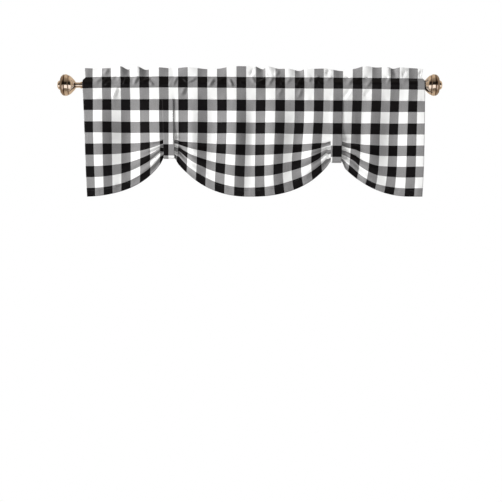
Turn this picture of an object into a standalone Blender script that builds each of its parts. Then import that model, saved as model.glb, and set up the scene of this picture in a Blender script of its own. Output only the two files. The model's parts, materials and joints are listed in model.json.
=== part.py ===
"""Tie-up window valance of checked cloth, hanging on its own rod with two knob finials.

Metres, +Z up. X runs along the rod, -Y faces the room and +Y the window. The origin is on the
rod's axis, midway between the finials' tips. The cloth is one panel: a ruffled heading, a pocket
sewn round the rod, and a skirt that two straps gather up into three swags.
"""

import math
from collections import namedtuple

import bmesh
import bpy

MM = 0.001
GAP = 0.3 * MM

# The rod, and what is turned to fit over its ends.
ROD_RADIUS = 12.7 * MM
TURNED_SIDES = 28
TIP_TO_TIP = 1299.0 * MM
FINIAL_LENGTH = 78.4 * MM
SOCKET_START = 11.0 * MM

# Outlines run from the outer end towards the rod: distance from that end, and radius.
Turning = namedtuple("Turning", "along radius")
FINIAL_OUTLINE = [
    Turning(0.0, 0.0),
    Turning(0.4, 6.5),
    Turning(1.6, 10.6),
    Turning(4.0, 13.6),
    Turning(7.4, 15.5),
    Turning(9.8, 16.2),
    Turning(11.1, 24.9),
    Turning(14.8, 31.0),
    Turning(18.2, 34.0),
    Turning(23.3, 36.4),
    Turning(27.0, 36.7),
    Turning(32.0, 36.0),
    Turning(36.4, 34.4),
    Turning(38.6, 32.6),
    Turning(40.8, 32.3),
    Turning(46.8, 28.3),
    Turning(51.5, 23.4),
    Turning(58.6, 15.6),
    Turning(61.5, 10.6),
    Turning(64.0, 9.3),
    Turning(76.0, 9.3),
    Turning(78.4, 9.9),
]
COLLAR_OUTLINE = [
    Turning(0.0, 10.6),
    Turning(1.0, 11.4),
    Turning(4.4, 11.4),
    Turning(5.2, 10.6),
    Turning(7.6, 11.6),
    Turning(10.4, 14.0),
    Turning(12.4, 14.5),
    Turning(26.0, 14.5),
    Turning(26.0, 13.0),
    Turning(11.0, 13.0),
]

# The cloth's lines. A drop is how far down the cloth they lie, measured from the rod's axis.
CLOTH = 1.6 * MM
HEADING_SEAM = -26.0 * MM
POCKET_SEAM = 46.0 * MM
GATHER_LINE = 180.6 * MM
HEM = 376.6 * MM

# The pocket bends round the rod at this radius, and is looser where the collars lie in it.
POCKET_ROUND = 14.4 * MM
POCKET_ROUND_AT_COLLAR = 16.6 * MM
COLLAR_REACH = 500.0 * MM
COLLAR_EASE = 30.0 * MM
POCKET_ROOM = 2.4 * MM

# How much lower than the even layout the cloth hangs: in the pocket, in the skirt, and low in the
# swags. It eases from each to the next between these drops, and is gone at the hem.
Sag = namedtuple("Sag", "x pocket skirt low")
SAGS = [
    Sag(-560, 1.5, -3.3, 0.5),
    Sag(-480, -0.3, -3.4, 2.5),
    Sag(-420, -0.7, -3.2, 2.5),
    Sag(-360, -1.2, -3.0, 0.0),
    Sag(-290, -1.7, -2.7, 0.0),
    Sag(-205, -1.3, -2.1, 1.0),
    Sag(-160, -1.1, -1.8, -2.0),
    Sag(-100, -0.5, -1.2, -2.0),
    Sag(-30, 0.2, -0.4, -0.5),
    Sag(65, 0.9, 0.1, -2.0),
    Sag(135, 1.4, 0.6, -4.0),
    Sag(200, 1.8, 1.2, -1.5),
    Sag(270, 2.3, 1.8, 1.0),
    Sag(340, 2.9, 2.3, 5.0),
    Sag(395, 3.5, 2.5, 3.0),
    Sag(490, 4.8, 2.8, 2.5),
    Sag(580, 6.0, 3.7, 1.5),
]
SAG_DROPS = (11.0 * MM, 88.0 * MM, 185.0 * MM, 300.0 * MM, 340.0 * MM, 376.0 * MM)

# The warp lines: where each meets the hem, how much further right it stands at the pocket seam,
# and how far it bows sideways, halfway down the skirt and low in it.
Warp = namedtuple("Warp", "hem_x back bow low")
WARPS = [
    Warp(-549, -13.5, 0.5, 0),
    Warp(-522.4, -7.1, -2.2, 2.2),
    Warp(-477.5, -4.5, -1.0, 1),
    Warp(-421, -0.6, -0.3, 1.1),
    Warp(-371, -0.6, 0.6, 1.2),
    Warp(-319, -3.0, -2.5, 3),
    Warp(-276, 0.0, 0.0, 0),
    Warp(-247, 5.5, 1.8, 2.9),
    Warp(-210, 4.9, 1.9, 1.4),
    Warp(-168, 7.0, 2.2, 0.4),
    Warp(-102.5, 8.5, 3.2, -1.6),
    Warp(-38.4, 8.4, 2.2, -1.1),
    Warp(33, 2.0, -0.6, -1.5),
    Warp(101, 1.0, -0.3, -6.2),
    Warp(167, 3.0, 1.3, -10),
    Warp(225.5, 4.7, 0.7, -6.5),
    Warp(292, 3.9, -1.0, -3),
    Warp(344.5, 17.1, 2.0, 4),
    Warp(405.4, 22.4, 2.3, 5.2),
    Warp(471, 20.0, 3.1, 2.7),
    Warp(539.7, 11.6, 0.8, -0.2),
    Warp(582, 9.0, 1.5, 0),
]
LOW_BOW = 256 / 27

# How far the heading's side edges stand to the right of the pocket's.
EdgePull = namedtuple("EdgePull", "drop left right")
EDGE_PULLS = [
    EdgePull(-60, 7.0, -8.0),
    EdgePull(-26, 9.0, -13.0),
    EdgePull(-15, -1.0, -2.0),
    EdgePull(46, 0.0, 0.0),
]
EDGE_PULL_REACH = 24.0 * MM
HEADING_SPREAD = 1.8 * MM

# The heading's ruffles: each crest or dip, its height above the axis and how far forward it is.
Ruffle = namedtuple("Ruffle", "x height forward")
RUFFLES = [
    Ruffle(-554, 56.0, 1),
    Ruffle(-512, 55.0, -3),
    Ruffle(-478, 56.0, 1),
    Ruffle(-437, 62.0, 6),
    Ruffle(-411, 52.0, -5),
    Ruffle(-381, 61.5, 7),
    Ruffle(-350, 51.0, -6),
    Ruffle(-309, 58.5, 4),
    Ruffle(-259, 55.5, -2),
    Ruffle(-208, 59.0, 4),
    Ruffle(-141, 53.5, -5),
    Ruffle(-110, 54.5, -3),
    Ruffle(-53, 62.5, 6),
    Ruffle(15, 62.0, 3),
    Ruffle(44, 53.0, -5),
    Ruffle(60, 61.5, 5),
    Ruffle(100, 54.0, -2),
    Ruffle(130, 54.0, 2),
    Ruffle(166, 47.5, -6),
    Ruffle(192, 53.0, 4),
    Ruffle(250, 54.5, 2),
    Ruffle(315, 47.0, -6),
    Ruffle(345, 53.0, -1),
    Ruffle(390, 62.0, 5),
    Ruffle(429, 58.5, -2),
    Ruffle(466, 59.5, 3),
    Ruffle(483, 54.5, -5),
    Ruffle(508, 58.0, 5),
    Ruffle(555, 56.0, -2),
    Ruffle(582, 52.5, 1),
]

# The skirt's upright folds: the middle of each rise or trough, and how far forward it is.
Fold = namedtuple("Fold", "x forward")
FOLDS = [
    Fold(-562, 8),
    Fold(-503, 10),
    Fold(-408, -13),
    Fold(-330, -3),
    Fold(-212, 9),
    Fold(-133, -7),
    Fold(-56, 8),
    Fold(5, -7),
    Fold(82, 9),
    Fold(157, -6),
    Fold(220, 3),
    Fold(330, -4),
    Fold(362, -8),
    Fold(393, -3),
    Fold(456, -13),
    Fold(582, 8),
]
FOLD_AT_SEAM = 0.35
FOLD_AT_HEM = 0.3

# The two straps: where each hangs and its width at the seam, and the same where it turns under.
Strap = namedtuple("Strap", "name x width foot_x foot_width foot_drop")
STRAPS = [
    Strap("strap_left", -276.5, 39.0, -272.0, 36.0, 249.3),
    Strap("strap_right", 293.0, 41.0, 291.0, 36.0, 262.8),
]
STRAP_CLOTH = 1.6 * MM
STRAP_TOP_DROP = 48.0 * MM
STRAP_TOP_OUT = 2.2 * MM
STRAP_FOOT_OUT = 9.0 * MM
STRAP_LIFT_START = 140.0 * MM
STRAP_LIFT_END = 186.0 * MM
STRAP_TURN = 9.0 * MM
STRAP_RUN_STEPS = 20
STRAP_TURN_STEPS = 8
STRAP_ACROSS = 2

# Each swag's hem: where it is lowest, where it meets a strap, how far it rises there, and how
# much of that rise is the even curve. The rest is steep and comes close to the strap, inside
# which the hem is lifted further. Late is 1 where the lower rows take up the spare length.
Swag = namedtuple("Swag", "low_x strap_x rise even steep lift late")
SWAGS = [
    Swag(-555.0, -289.8, 130.0, 0.66, 6, 5.0, 0),
    Swag(-10.0, -255.4, 128.0, 0.74, 4, 7.0, 0),
    Swag(15.0, 272.6, 118.0, 0.67, 5, 3.0, 0),
    Swag(540.0, 310.4, 106.0, 0.85, 4, 15.0, 1),
]
HOLD_SPARE = 2.0 * MM
HOLD_EASE = 12.0 * MM
TAKEN_POWER = 1.3
LATE_POWER = 2.5
LATE_START = 35.0 * MM
LATE_REACH = 75.0 * MM

# Crosswise gathers: deep beside a strap, pinched in it, and gone where the hem hangs free.
GATHERS = 4
GATHER_DEPTH = 5.5 * MM
PINCH = 0.75
SWAG_BELLY = 8.0 * MM
BELLY_REACH = 60.0 * MM

STATION_PITCH = 20.0 * MM
HEADING_LEVELS = 3
SKIRT_LEVELS = 4
LEVELS_PER_GATHER = 4
STEEPEST = 3.0


def smooth(share):
    """An even ease from 0 to 1."""
    share = min(max(share, 0.0), 1.0)
    return share * share * (3.0 - 2.0 * share)


def read(table, key, column, place):
    """A column's value in metres, eased between the rows on either side of a place."""
    at = place / MM
    if at <= getattr(table[0], key):
        return getattr(table[0], column) * MM
    for before, after in zip(table, table[1:]):
        start, end = getattr(before, key), getattr(after, key)
        if at <= end:
            share = smooth((at - start) / (end - start))
            low, high = getattr(before, column), getattr(after, column)
            return (low + (high - low) * share) * MM
    return getattr(table[-1], column) * MM


def strap_at(hem_x):
    """The nearer strap, and how far a place on the hem is outside its hold."""
    near = min(STRAPS, key=lambda strap: abs(hem_x - strap.foot_x * MM))
    outside = abs(hem_x - near.foot_x * MM) - near.foot_width * MM / 2 - HOLD_SPARE
    return near, max(outside, 0.0)


def swag_at(hem_x):
    """The swag that a place on the hem belongs to."""
    at = hem_x / MM
    if at < STRAPS[0].foot_x:
        return SWAGS[0]
    if at > STRAPS[1].foot_x:
        return SWAGS[3]
    return SWAGS[1] if at < SWAGS[1].low_x else SWAGS[2]


def hem_drop(hem_x):
    """How low the hem hangs. It is lifted a little more where a strap holds it."""
    swag = swag_at(hem_x)
    share = (hem_x / MM - swag.low_x) / (swag.strap_x - swag.low_x)
    share = min(max(share, 0.0), 1.0)
    rise = swag.rise * (swag.even * share**2 + (1.0 - swag.even) * share**swag.steep)
    _, outside = strap_at(hem_x)
    return HEM - (rise + swag.lift * (1.0 - smooth(outside / HOLD_EASE))) * MM


def shortening(hem_x):
    """How much of its own length the cloth below the gather line still hangs down."""
    return (hem_drop(hem_x) - GATHER_LINE) / (HEM - GATHER_LINE)


def hung(hem_x, drop):
    """The height at which a point of the cloth hangs, as a drop below the axis."""
    if drop <= GATHER_LINE:
        return drop
    low = (drop - GATHER_LINE) / (HEM - GATHER_LINE)
    _, outside = strap_at(hem_x)
    curve = math.sin(math.pi / 2 * low**TAKEN_POWER)
    early = low + (curve - low) * smooth(outside / HOLD_EASE)
    late = swag_at(hem_x).late * min(max((outside - LATE_START) / LATE_REACH, 0.0), 1.0)
    taken = early + (low**LATE_POWER - early) * late
    return drop - (HEM - hem_drop(hem_x)) * taken


def across(hem_x, drop):
    """Where the warp line that ends at hem_x stands at this drop."""
    start = hem_x + read(WARPS, "hem_x", "back", hem_x)
    left, right = ((row.hem_x + row.back) * MM for row in (WARPS[0], WARPS[-1]))
    if drop <= POCKET_SEAM:
        near_left = smooth(1.0 - (start - left) / EDGE_PULL_REACH)
        near_right = smooth(1.0 - (right - start) / EDGE_PULL_REACH)
        pull_left = read(EDGE_PULLS, "drop", "left", drop) * near_left
        pull_right = read(EDGE_PULLS, "drop", "right", drop) * near_right
        turn = EDGE_PULLS[2].drop * MM
        spread = HEADING_SPREAD * start / left * smooth((drop - turn) / (HEADING_SEAM - turn))
        return start + pull_left + pull_right - spread
    down = (hung(hem_x, drop) - POCKET_SEAM) / (hem_drop(hem_x) - POCKET_SEAM)
    bow = read(WARPS, "hem_x", "bow", hem_x) * 4.0 * down
    low_bow = read(WARPS, "hem_x", "low", hem_x) * LOW_BOW * down**3
    return start + (hem_x - start) * down + (bow + low_bow) * (1.0 - down)


def sag(hem_x, drop):
    """How much lower than the even layout the cloth hangs at this drop."""
    turn, full, free, low, held, gone = SAG_DROPS
    pocket, skirt, swag = (read(SAGS, "x", part, hem_x) for part in ("pocket", "skirt", "low"))
    lower = pocket + (skirt - pocket) * smooth((drop - turn) / (full - turn))
    lower += (swag - lower) * smooth((drop - free) / (low - free))
    return lower * (1.0 - smooth((drop - held) / (gone - held)))


def fold_at(hem_x):
    """How far forward the skirt's upright folds stand here, and they keep off the straps."""
    _, outside = strap_at(hem_x)
    return read(FOLDS, "x", "forward", hem_x) * smooth(outside / BELLY_REACH)


def skirt_forward(hem_x, drop):
    """How far the skirt's middle surface stands towards the room."""
    _, outside = strap_at(hem_x)
    down = smooth((drop - POCKET_SEAM) / (GATHER_LINE - POCKET_SEAM))
    low = max(drop - GATHER_LINE, 0.0) / (HEM - GATHER_LINE)
    share = (FOLD_AT_SEAM + (1.0 - FOLD_AT_SEAM) * down) * (1.0 - (1.0 - FOLD_AT_HEM) * low)
    pinch = PINCH + (1.0 - PINCH) * smooth(outside / HOLD_EASE)
    depth = GATHER_DEPTH * (1.0 - shortening(hem_x)) * pinch
    gather = depth * math.sin(2.0 * math.pi * GATHERS * low)
    belly = SWAG_BELLY * smooth(outside / BELLY_REACH) * math.sin(math.pi * low)
    return fold_at(hem_x) * share + gather + belly


def pocket_outline(hem_x):
    """The pocket's middle line from seam to seam: drop, how far out, and how far it is held."""
    top = HEADING_SEAM + sag(hem_x, HEADING_SEAM)
    foot = POCKET_SEAM + sag(hem_x, POCKET_SEAM)
    loose = smooth((abs(hem_x) - COLLAR_REACH) / COLLAR_EASE)
    radius = POCKET_ROUND + (POCKET_ROUND_AT_COLLAR - POCKET_ROUND) * loose
    first = math.acos(radius / -top)
    last = math.pi - math.acos(radius / foot)
    arc = []
    for angle in (first, (first + last) / 2, last):
        arc.append((-radius * math.cos(angle), radius * math.sin(angle), 1.0))
    upper = ((top + arc[0][0]) / 2, arc[0][1] / 2, 0.5)
    lower = []
    for share in (1 / 3, 2 / 3):
        lower.append((arc[2][0] + (foot - arc[2][0]) * share, arc[2][1] * (1 - share), 1 - share))
    return [(top, 0.0, 0.0), upper, *arc, *lower, (foot, 0.0, 0.0)]


def skirt_levels():
    """The drops at which the skirt is modelled, closer together where it is gathered."""
    upper = [
        POCKET_SEAM + (GATHER_LINE - POCKET_SEAM) * step / SKIRT_LEVELS
        for step in range(1, SKIRT_LEVELS + 1)
    ]
    count = GATHERS * LEVELS_PER_GATHER
    lower = [GATHER_LINE + (HEM - GATHER_LINE) * step / count for step in range(1, count + 1)]
    return upper + lower


def heading_rows(hem_x):
    """The heading's front and back points, from its ruffled top down to its seam."""
    front, back = [], []
    place = across(hem_x, HEADING_SEAM)
    top = read(RUFFLES, "x", "height", place)
    forward = read(RUFFLES, "x", "forward", place)
    seam = -HEADING_SEAM - sag(hem_x, HEADING_SEAM)
    for level in range(HEADING_LEVELS):
        up = 1.0 - level / HEADING_LEVELS
        height = seam + (top - seam) * up
        y = -forward * (FOLD_AT_SEAM + (1.0 - FOLD_AT_SEAM) * up)
        x = across(hem_x, -height)
        front.append((x, y - CLOTH, height))
        back.append((x, y + CLOTH, height))
    return front, back, forward


def panel_section(hem_x):
    """One upright section of the panel: its front, back and pocket points, from the top down."""
    half = CLOTH / 2
    front, back, forward = heading_rows(hem_x)
    inner_front, inner_back = [], []
    outline = pocket_outline(hem_x)
    for row, (drop, out, held) in enumerate(outline):
        x = across(hem_x, drop)
        sway = forward if drop < 0 else fold_at(hem_x)
        y = -sway * FOLD_AT_SEAM * (1.0 - held)
        front.append((x, y - out - half, -drop))
        back.append((x, y + out + half, -drop))
        if row in (0, len(outline) - 1):
            inward = POCKET_ROOM if row == 0 else -POCKET_ROOM
            apex = (x, y, -drop - inward)
            inner_front.append(apex)
            inner_back.append(apex)
        else:
            inner_front.append((x, y - out + half, -drop))
            inner_back.append((x, y + out - half, -drop))
    step = 2.0 * MM
    for drop in skirt_levels():
        rise = skirt_forward(hem_x, drop + step) - skirt_forward(hem_x, drop - step)
        run = hung(hem_x, drop + step) - hung(hem_x, drop - step)
        slope = min(abs(rise / run), STEEPEST)
        thick = half * math.sqrt(1.0 + slope * slope)
        y = -skirt_forward(hem_x, drop)
        x = across(hem_x, drop)
        z = -hung(hem_x, drop) - sag(hem_x, drop)
        front.append((x, y - thick, z))
        back.append((x, y + thick, z))
    return front, back, inner_front, inner_back


def bridge(bm, before, after):
    """Faces between two rows of points that run the same way."""
    for step in range(len(before) - 1):
        bm.faces.new((before[step], before[step + 1], after[step + 1], after[step]))


def panel_end(bm, front, back, inner_front, inner_back):
    """Closes one side edge of the panel, round the mouth of its pocket."""
    first, last = HEADING_LEVELS, HEADING_LEVELS + len(inner_front) - 1
    bridge(bm, back[: first + 1], front[: first + 1])
    bridge(bm, back[last:], front[last:])
    bridge(bm, inner_front, front[first : last + 1])
    bridge(bm, back[first : last + 1], inner_back)
    bm.faces.new((front[first], inner_front[0], back[first]))
    bm.faces.new((front[last], back[last], inner_front[-1]))


def panel_stations():
    """Places along the hem where the panel is modelled, with one at each edge of a strap's hold."""
    marks = [WARPS[0].hem_x * MM]
    for strap in STRAPS:
        hold = strap.foot_width * MM / 2 + HOLD_SPARE
        for reach in (-hold - HOLD_EASE, -hold, hold, hold + HOLD_EASE):
            marks.append(strap.foot_x * MM + reach)
    marks.append(WARPS[-1].hem_x * MM)
    places = [marks[0]]
    for start, end in zip(marks, marks[1:]):
        count = math.ceil((end - start) / STATION_PITCH)
        places += [start + (end - start) * step / count for step in range(1, count + 1)]
    return places


def add_object(name, bm, material):
    """A named object from a finished mesh, with its faces turned outwards."""
    bmesh.ops.recalc_face_normals(bm, faces=bm.faces)
    mesh = bpy.data.meshes.new(name)
    bm.to_mesh(mesh)
    bm.free()
    mesh.materials.append(material)
    mesh.shade_smooth()
    mesh.set_sharp_from_angle(angle=math.radians(50))
    obj = bpy.data.objects.new(name, mesh)
    bpy.context.scene.collection.objects.link(obj)
    return obj


def make_panel(material):
    """The valance itself: one cloth with its heading, rod pocket, gathers and hem."""
    bm = bmesh.new()
    rings = []
    for hem_x in panel_stations():
        front, back, inner_front, inner_back = panel_section(hem_x)
        front = [bm.verts.new(point) for point in front]
        back = [bm.verts.new(point) for point in back]
        inner_front = [bm.verts.new(point) for point in inner_front]
        between = [bm.verts.new(point) for point in inner_back[1:-1]]
        rings.append((front, back, inner_front, [inner_front[0], *between, inner_front[-1]]))
    for before, after in zip(rings, rings[1:]):
        bridge(bm, before[0], after[0])
        bridge(bm, after[1], before[1])
        bridge(bm, after[2], before[2])
        bridge(bm, before[3], after[3])
        bm.faces.new((before[1][0], before[0][0], after[0][0], after[1][0]))
        bm.faces.new((before[0][-1], before[1][-1], after[1][-1], after[0][-1]))
    panel_end(bm, *rings[0])
    front, back, inner_front, inner_back = rings[-1]
    panel_end(bm, back, front, inner_back, inner_front)
    return add_object("valance_panel", bm, material)


def strap_path(strap):
    """The strap's middle line in side view, from the front of the pocket seam to its back."""
    top = STRAP_TOP_DROP + sag(strap.foot_x * MM, POCKET_SEAM)
    turn = strap.foot_drop * MM - STRAP_TURN
    run = []
    for step in range(STRAP_RUN_STEPS):
        drop = top + (turn - top) * step / STRAP_RUN_STEPS
        reach = smooth((drop - STRAP_LIFT_START) / (STRAP_LIFT_END - STRAP_LIFT_START))
        run.append((STRAP_TOP_OUT + (STRAP_FOOT_OUT - STRAP_TOP_OUT) * reach, drop))
    under = []
    for step in range(STRAP_TURN_STEPS + 1):
        angle = math.pi * step / STRAP_TURN_STEPS
        deep = (STRAP_TURN - STRAP_CLOTH / 2) * math.sin(angle)
        under.append((-STRAP_FOOT_OUT * math.cos(angle), -turn - deep))
    front = [(-out, -drop) for out, drop in run]
    rear = [(out, -drop) for out, drop in reversed(run)]
    return front + under + rear


def make_strap(strap, material):
    """A flat band of the same cloth, sewn into the pocket seam, that holds the gathers up."""
    path = strap_path(strap)
    bm = bmesh.new()
    rings = []
    for step, (y, z) in enumerate(path):
        before = path[max(step - 1, 0)]
        after = path[min(step + 1, len(path) - 1)]
        along_y, along_z = after[0] - before[0], after[1] - before[1]
        length = math.hypot(along_y, along_z)
        out_y, out_z = along_z / length, -along_y / length
        share = (-z - STRAP_TOP_DROP) / (strap.foot_drop * MM - STRAP_TOP_DROP)
        centre = (strap.x + (strap.foot_x - strap.x) * share) * MM
        width = (strap.width + (strap.foot_width - strap.width) * share) * MM
        ring = []
        for side in (-1, 1):
            for place in range(STRAP_ACROSS + 1):
                sideways = side * width * (place / STRAP_ACROSS - 0.5)
                shift = side * STRAP_CLOTH / 2
                point = (centre + sideways, y + out_y * shift, z + out_z * shift)
                ring.append(bm.verts.new(point))
        rings.append(ring)
    for before, after in zip(rings, rings[1:]):
        for place in range(len(before)):
            following = (place + 1) % len(before)
            bm.faces.new((before[place], before[following], after[following], after[place]))
    bm.faces.new(rings[0])
    bm.faces.new(rings[-1])
    return add_object(strap.name, bm, material)


def make_turning(name, outline, tip, way, material):
    """A piece turned round the rod's axis. Its outline runs inwards from tip, along way."""
    bm = bmesh.new()
    ends = (outline[0], outline[-1])
    rows = [row for row in outline if row.radius > 0]
    rows = [Turning(ends[0].along, 0.0), *rows, Turning(ends[1].along, 0.0)]
    points = [bm.verts.new((tip + way * row.along * MM, 0, row.radius * MM)) for row in rows]
    edges = [bm.edges.new(pair) for pair in zip(points, points[1:])]
    bmesh.ops.spin(
        bm,
        geom=points + edges,
        cent=(0, 0, 0),
        axis=(1, 0, 0),
        angle=2 * math.pi,
        steps=TURNED_SIDES,
    )
    bmesh.ops.remove_doubles(bm, verts=bm.verts, dist=0.01 * MM)
    return add_object(name, bm, material)


def make_rod(material):
    """The rod: a plain bar whose ends sit in the collars' sockets."""
    end = TIP_TO_TIP / 2 - FINIAL_LENGTH - SOCKET_START - 2 * GAP
    radius = ROD_RADIUS / MM
    outline = [Turning(0.0, radius), Turning(2 * end / MM, radius)]
    return make_turning("rod", outline, -end, 1, material)


def make_material(name, colour, roughness, metallic):
    """A plain Principled finish."""
    material = bpy.data.materials.new(name)
    material.use_nodes = True
    shader = material.node_tree.nodes["Principled BSDF"]
    shader.inputs["Base Color"].default_value = (*colour, 1.0)
    shader.inputs["Roughness"].default_value = roughness
    shader.inputs["Metallic"].default_value = metallic
    return material


def main():
    for obj in list(bpy.data.objects):
        bpy.data.objects.remove(obj)
    panel_cloth = make_material("checked cloth", (0.22, 0.22, 0.22), 0.85, 0.0)
    strap_cloth = make_material("strap cloth", (0.16, 0.16, 0.16), 0.85, 0.0)
    bronze = make_material("polished bronze", (0.52, 0.40, 0.29), 0.2, 1.0)
    steel = make_material("bronzed tube", (0.40, 0.31, 0.23), 0.35, 1.0)
    make_panel(panel_cloth)
    for strap in STRAPS:
        make_strap(strap, strap_cloth)
    make_rod(steel)
    tip = TIP_TO_TIP / 2
    collar = tip - FINIAL_LENGTH - GAP
    for side, way in (("left", 1), ("right", -1)):
        make_turning(f"finial_{side}", FINIAL_OUTLINE, -way * tip, way, bronze)
        make_turning(f"collar_{side}", COLLAR_OUTLINE, -way * collar, way, bronze)


main()
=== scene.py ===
"""A tie-up window valance of checked cloth on its own rod, dressed for a bright plain studio.

Metres, +Z up. X runs along the rod and -Y faces the room. The origin is on the rod's axis, midway
between the finials' tips. A drop is how far down the cloth a line lies, measured from that axis.
"""

import json
import math
from collections import namedtuple

import bpy
import numpy as np
from bpy.props import FloatProperty, FloatVectorProperty, IntProperty, PointerProperty
from mathutils import Matrix, Vector

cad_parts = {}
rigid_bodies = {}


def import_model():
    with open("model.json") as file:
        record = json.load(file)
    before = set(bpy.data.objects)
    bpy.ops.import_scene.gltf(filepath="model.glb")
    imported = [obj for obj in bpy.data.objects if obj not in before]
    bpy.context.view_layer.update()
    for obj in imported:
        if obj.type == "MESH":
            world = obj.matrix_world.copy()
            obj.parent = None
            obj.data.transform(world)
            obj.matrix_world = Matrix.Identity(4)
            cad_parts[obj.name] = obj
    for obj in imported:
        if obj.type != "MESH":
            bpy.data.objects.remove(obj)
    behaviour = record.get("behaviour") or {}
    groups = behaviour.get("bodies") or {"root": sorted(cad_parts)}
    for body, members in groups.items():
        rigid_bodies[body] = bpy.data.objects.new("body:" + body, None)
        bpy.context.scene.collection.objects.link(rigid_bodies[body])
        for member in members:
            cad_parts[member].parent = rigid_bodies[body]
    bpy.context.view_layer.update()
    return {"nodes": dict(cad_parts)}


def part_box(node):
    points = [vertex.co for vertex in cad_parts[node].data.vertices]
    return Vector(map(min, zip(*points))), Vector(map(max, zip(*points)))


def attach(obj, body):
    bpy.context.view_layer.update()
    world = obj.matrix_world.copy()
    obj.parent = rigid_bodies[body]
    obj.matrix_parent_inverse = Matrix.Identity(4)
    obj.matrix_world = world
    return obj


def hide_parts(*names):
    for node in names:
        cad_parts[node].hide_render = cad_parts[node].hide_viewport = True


bl_info = {
    "name": "Checked valance and rod",
    "version": (1, 0, 0),
    "blender": (4, 5, 0),
    "location": "View3D > Sidebar > Valance",
    "description": "Adds a tie-up valance of checked cloth on a rod with turned finials",
    "category": "Add Mesh",
}

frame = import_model()

MM = 0.001
INCH = 25.4 * MM
BODY = "root"
CLOTH_MAP = "ClothFlat"
# The attribute that holds the finials' painted shade and painted reflection.
PAINTED_SHADE = "antique"

# The finishes' names.
COTTON = "yarn-dyed cotton check"
THREAD = "spun polyester thread"
BRONZE = "polished champagne bronze"
TUBE = "satin bronze tube"
FLOOR = "white sealed floor"

# The cloth's lines.
HEADING_SEAM = -26.0 * MM
POCKET_SEAM = 46.0 * MM
GATHER_LINE = 180.6 * MM
HEM = 376.6 * MM

# The pocket bends round the rod at this radius, and is looser where the collars lie in it.
POCKET_ROUND = 14.4 * MM
POCKET_ROUND_AT_COLLAR = 16.6 * MM
COLLAR_REACH = 500.0 * MM
COLLAR_EASE = 30.0 * MM

# How much lower than the even layout the cloth hangs: in the pocket, in the skirt, and low in the
# swags. It eases from each to the next between these drops, and is gone at the hem.
Sag = namedtuple("Sag", "x pocket skirt low")
SAGS = [
    Sag(-560, 1.5, -3.3, 0.5),
    Sag(-480, -0.3, -3.4, 2.5),
    Sag(-420, -0.7, -3.2, 2.5),
    Sag(-360, -1.2, -3.0, 0.0),
    Sag(-290, -1.7, -2.7, 0.0),
    Sag(-205, -1.3, -2.1, 1.0),
    Sag(-160, -1.1, -1.8, -2.0),
    Sag(-100, -0.5, -1.2, -2.0),
    Sag(-30, 0.2, -0.4, -0.5),
    Sag(65, 0.9, 0.1, -2.0),
    Sag(135, 1.4, 0.6, -4.0),
    Sag(200, 1.8, 1.2, -1.5),
    Sag(270, 2.3, 1.8, 1.0),
    Sag(340, 2.9, 2.3, 5.0),
    Sag(395, 3.5, 2.5, 3.0),
    Sag(490, 4.8, 2.8, 2.5),
    Sag(580, 6.0, 3.7, 1.5),
]
SAG_DROPS = (11.0 * MM, 88.0 * MM, 185.0 * MM, 300.0 * MM, 340.0 * MM, 376.0 * MM)

# The warp lines: where each meets the hem, how much further right it stands at the pocket seam,
# and how far it bows sideways, halfway down the skirt and low in it.
Warp = namedtuple("Warp", "hem_x back bow low")
WARPS = [
    Warp(-549, -13.5, 0.5, 0),
    Warp(-522.4, -7.1, -2.2, 2.2),
    Warp(-477.5, -4.5, -1.0, 1),
    Warp(-421, -0.6, -0.3, 1.1),
    Warp(-371, -0.6, 0.6, 1.2),
    Warp(-319, -3.0, -2.5, 3),
    Warp(-276, 0.0, 0.0, 0),
    Warp(-247, 5.5, 1.8, 2.9),
    Warp(-210, 4.9, 1.9, 1.4),
    Warp(-168, 7.0, 2.2, 0.4),
    Warp(-102.5, 8.5, 3.2, -1.6),
    Warp(-38.4, 8.4, 2.2, -1.1),
    Warp(33, 2.0, -0.6, -1.5),
    Warp(101, 1.0, -0.3, -6.2),
    Warp(167, 3.0, 1.3, -10),
    Warp(225.5, 4.7, 0.7, -6.5),
    Warp(292, 3.9, -1.0, -3),
    Warp(344.5, 17.1, 2.0, 4),
    Warp(405.4, 22.4, 2.3, 5.2),
    Warp(471, 20.0, 3.1, 2.7),
    Warp(539.7, 11.6, 0.8, -0.2),
    Warp(582, 9.0, 1.5, 0),
]
# Brings the low bow to its full value at its peak, three quarters of the way down the skirt.
LOW_BOW = 256 / 27

# How far the heading's side edges stand to the right of the pocket's.
EdgePull = namedtuple("EdgePull", "drop left right")
EDGE_PULLS = [
    EdgePull(-60, 7.0, -8.0),
    EdgePull(-26, 9.0, -13.0),
    EdgePull(-15, -1.0, -2.0),
    EdgePull(46, 0.0, 0.0),
]
EDGE_PULL_REACH = 24.0 * MM
HEADING_SPREAD = 1.8 * MM

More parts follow.
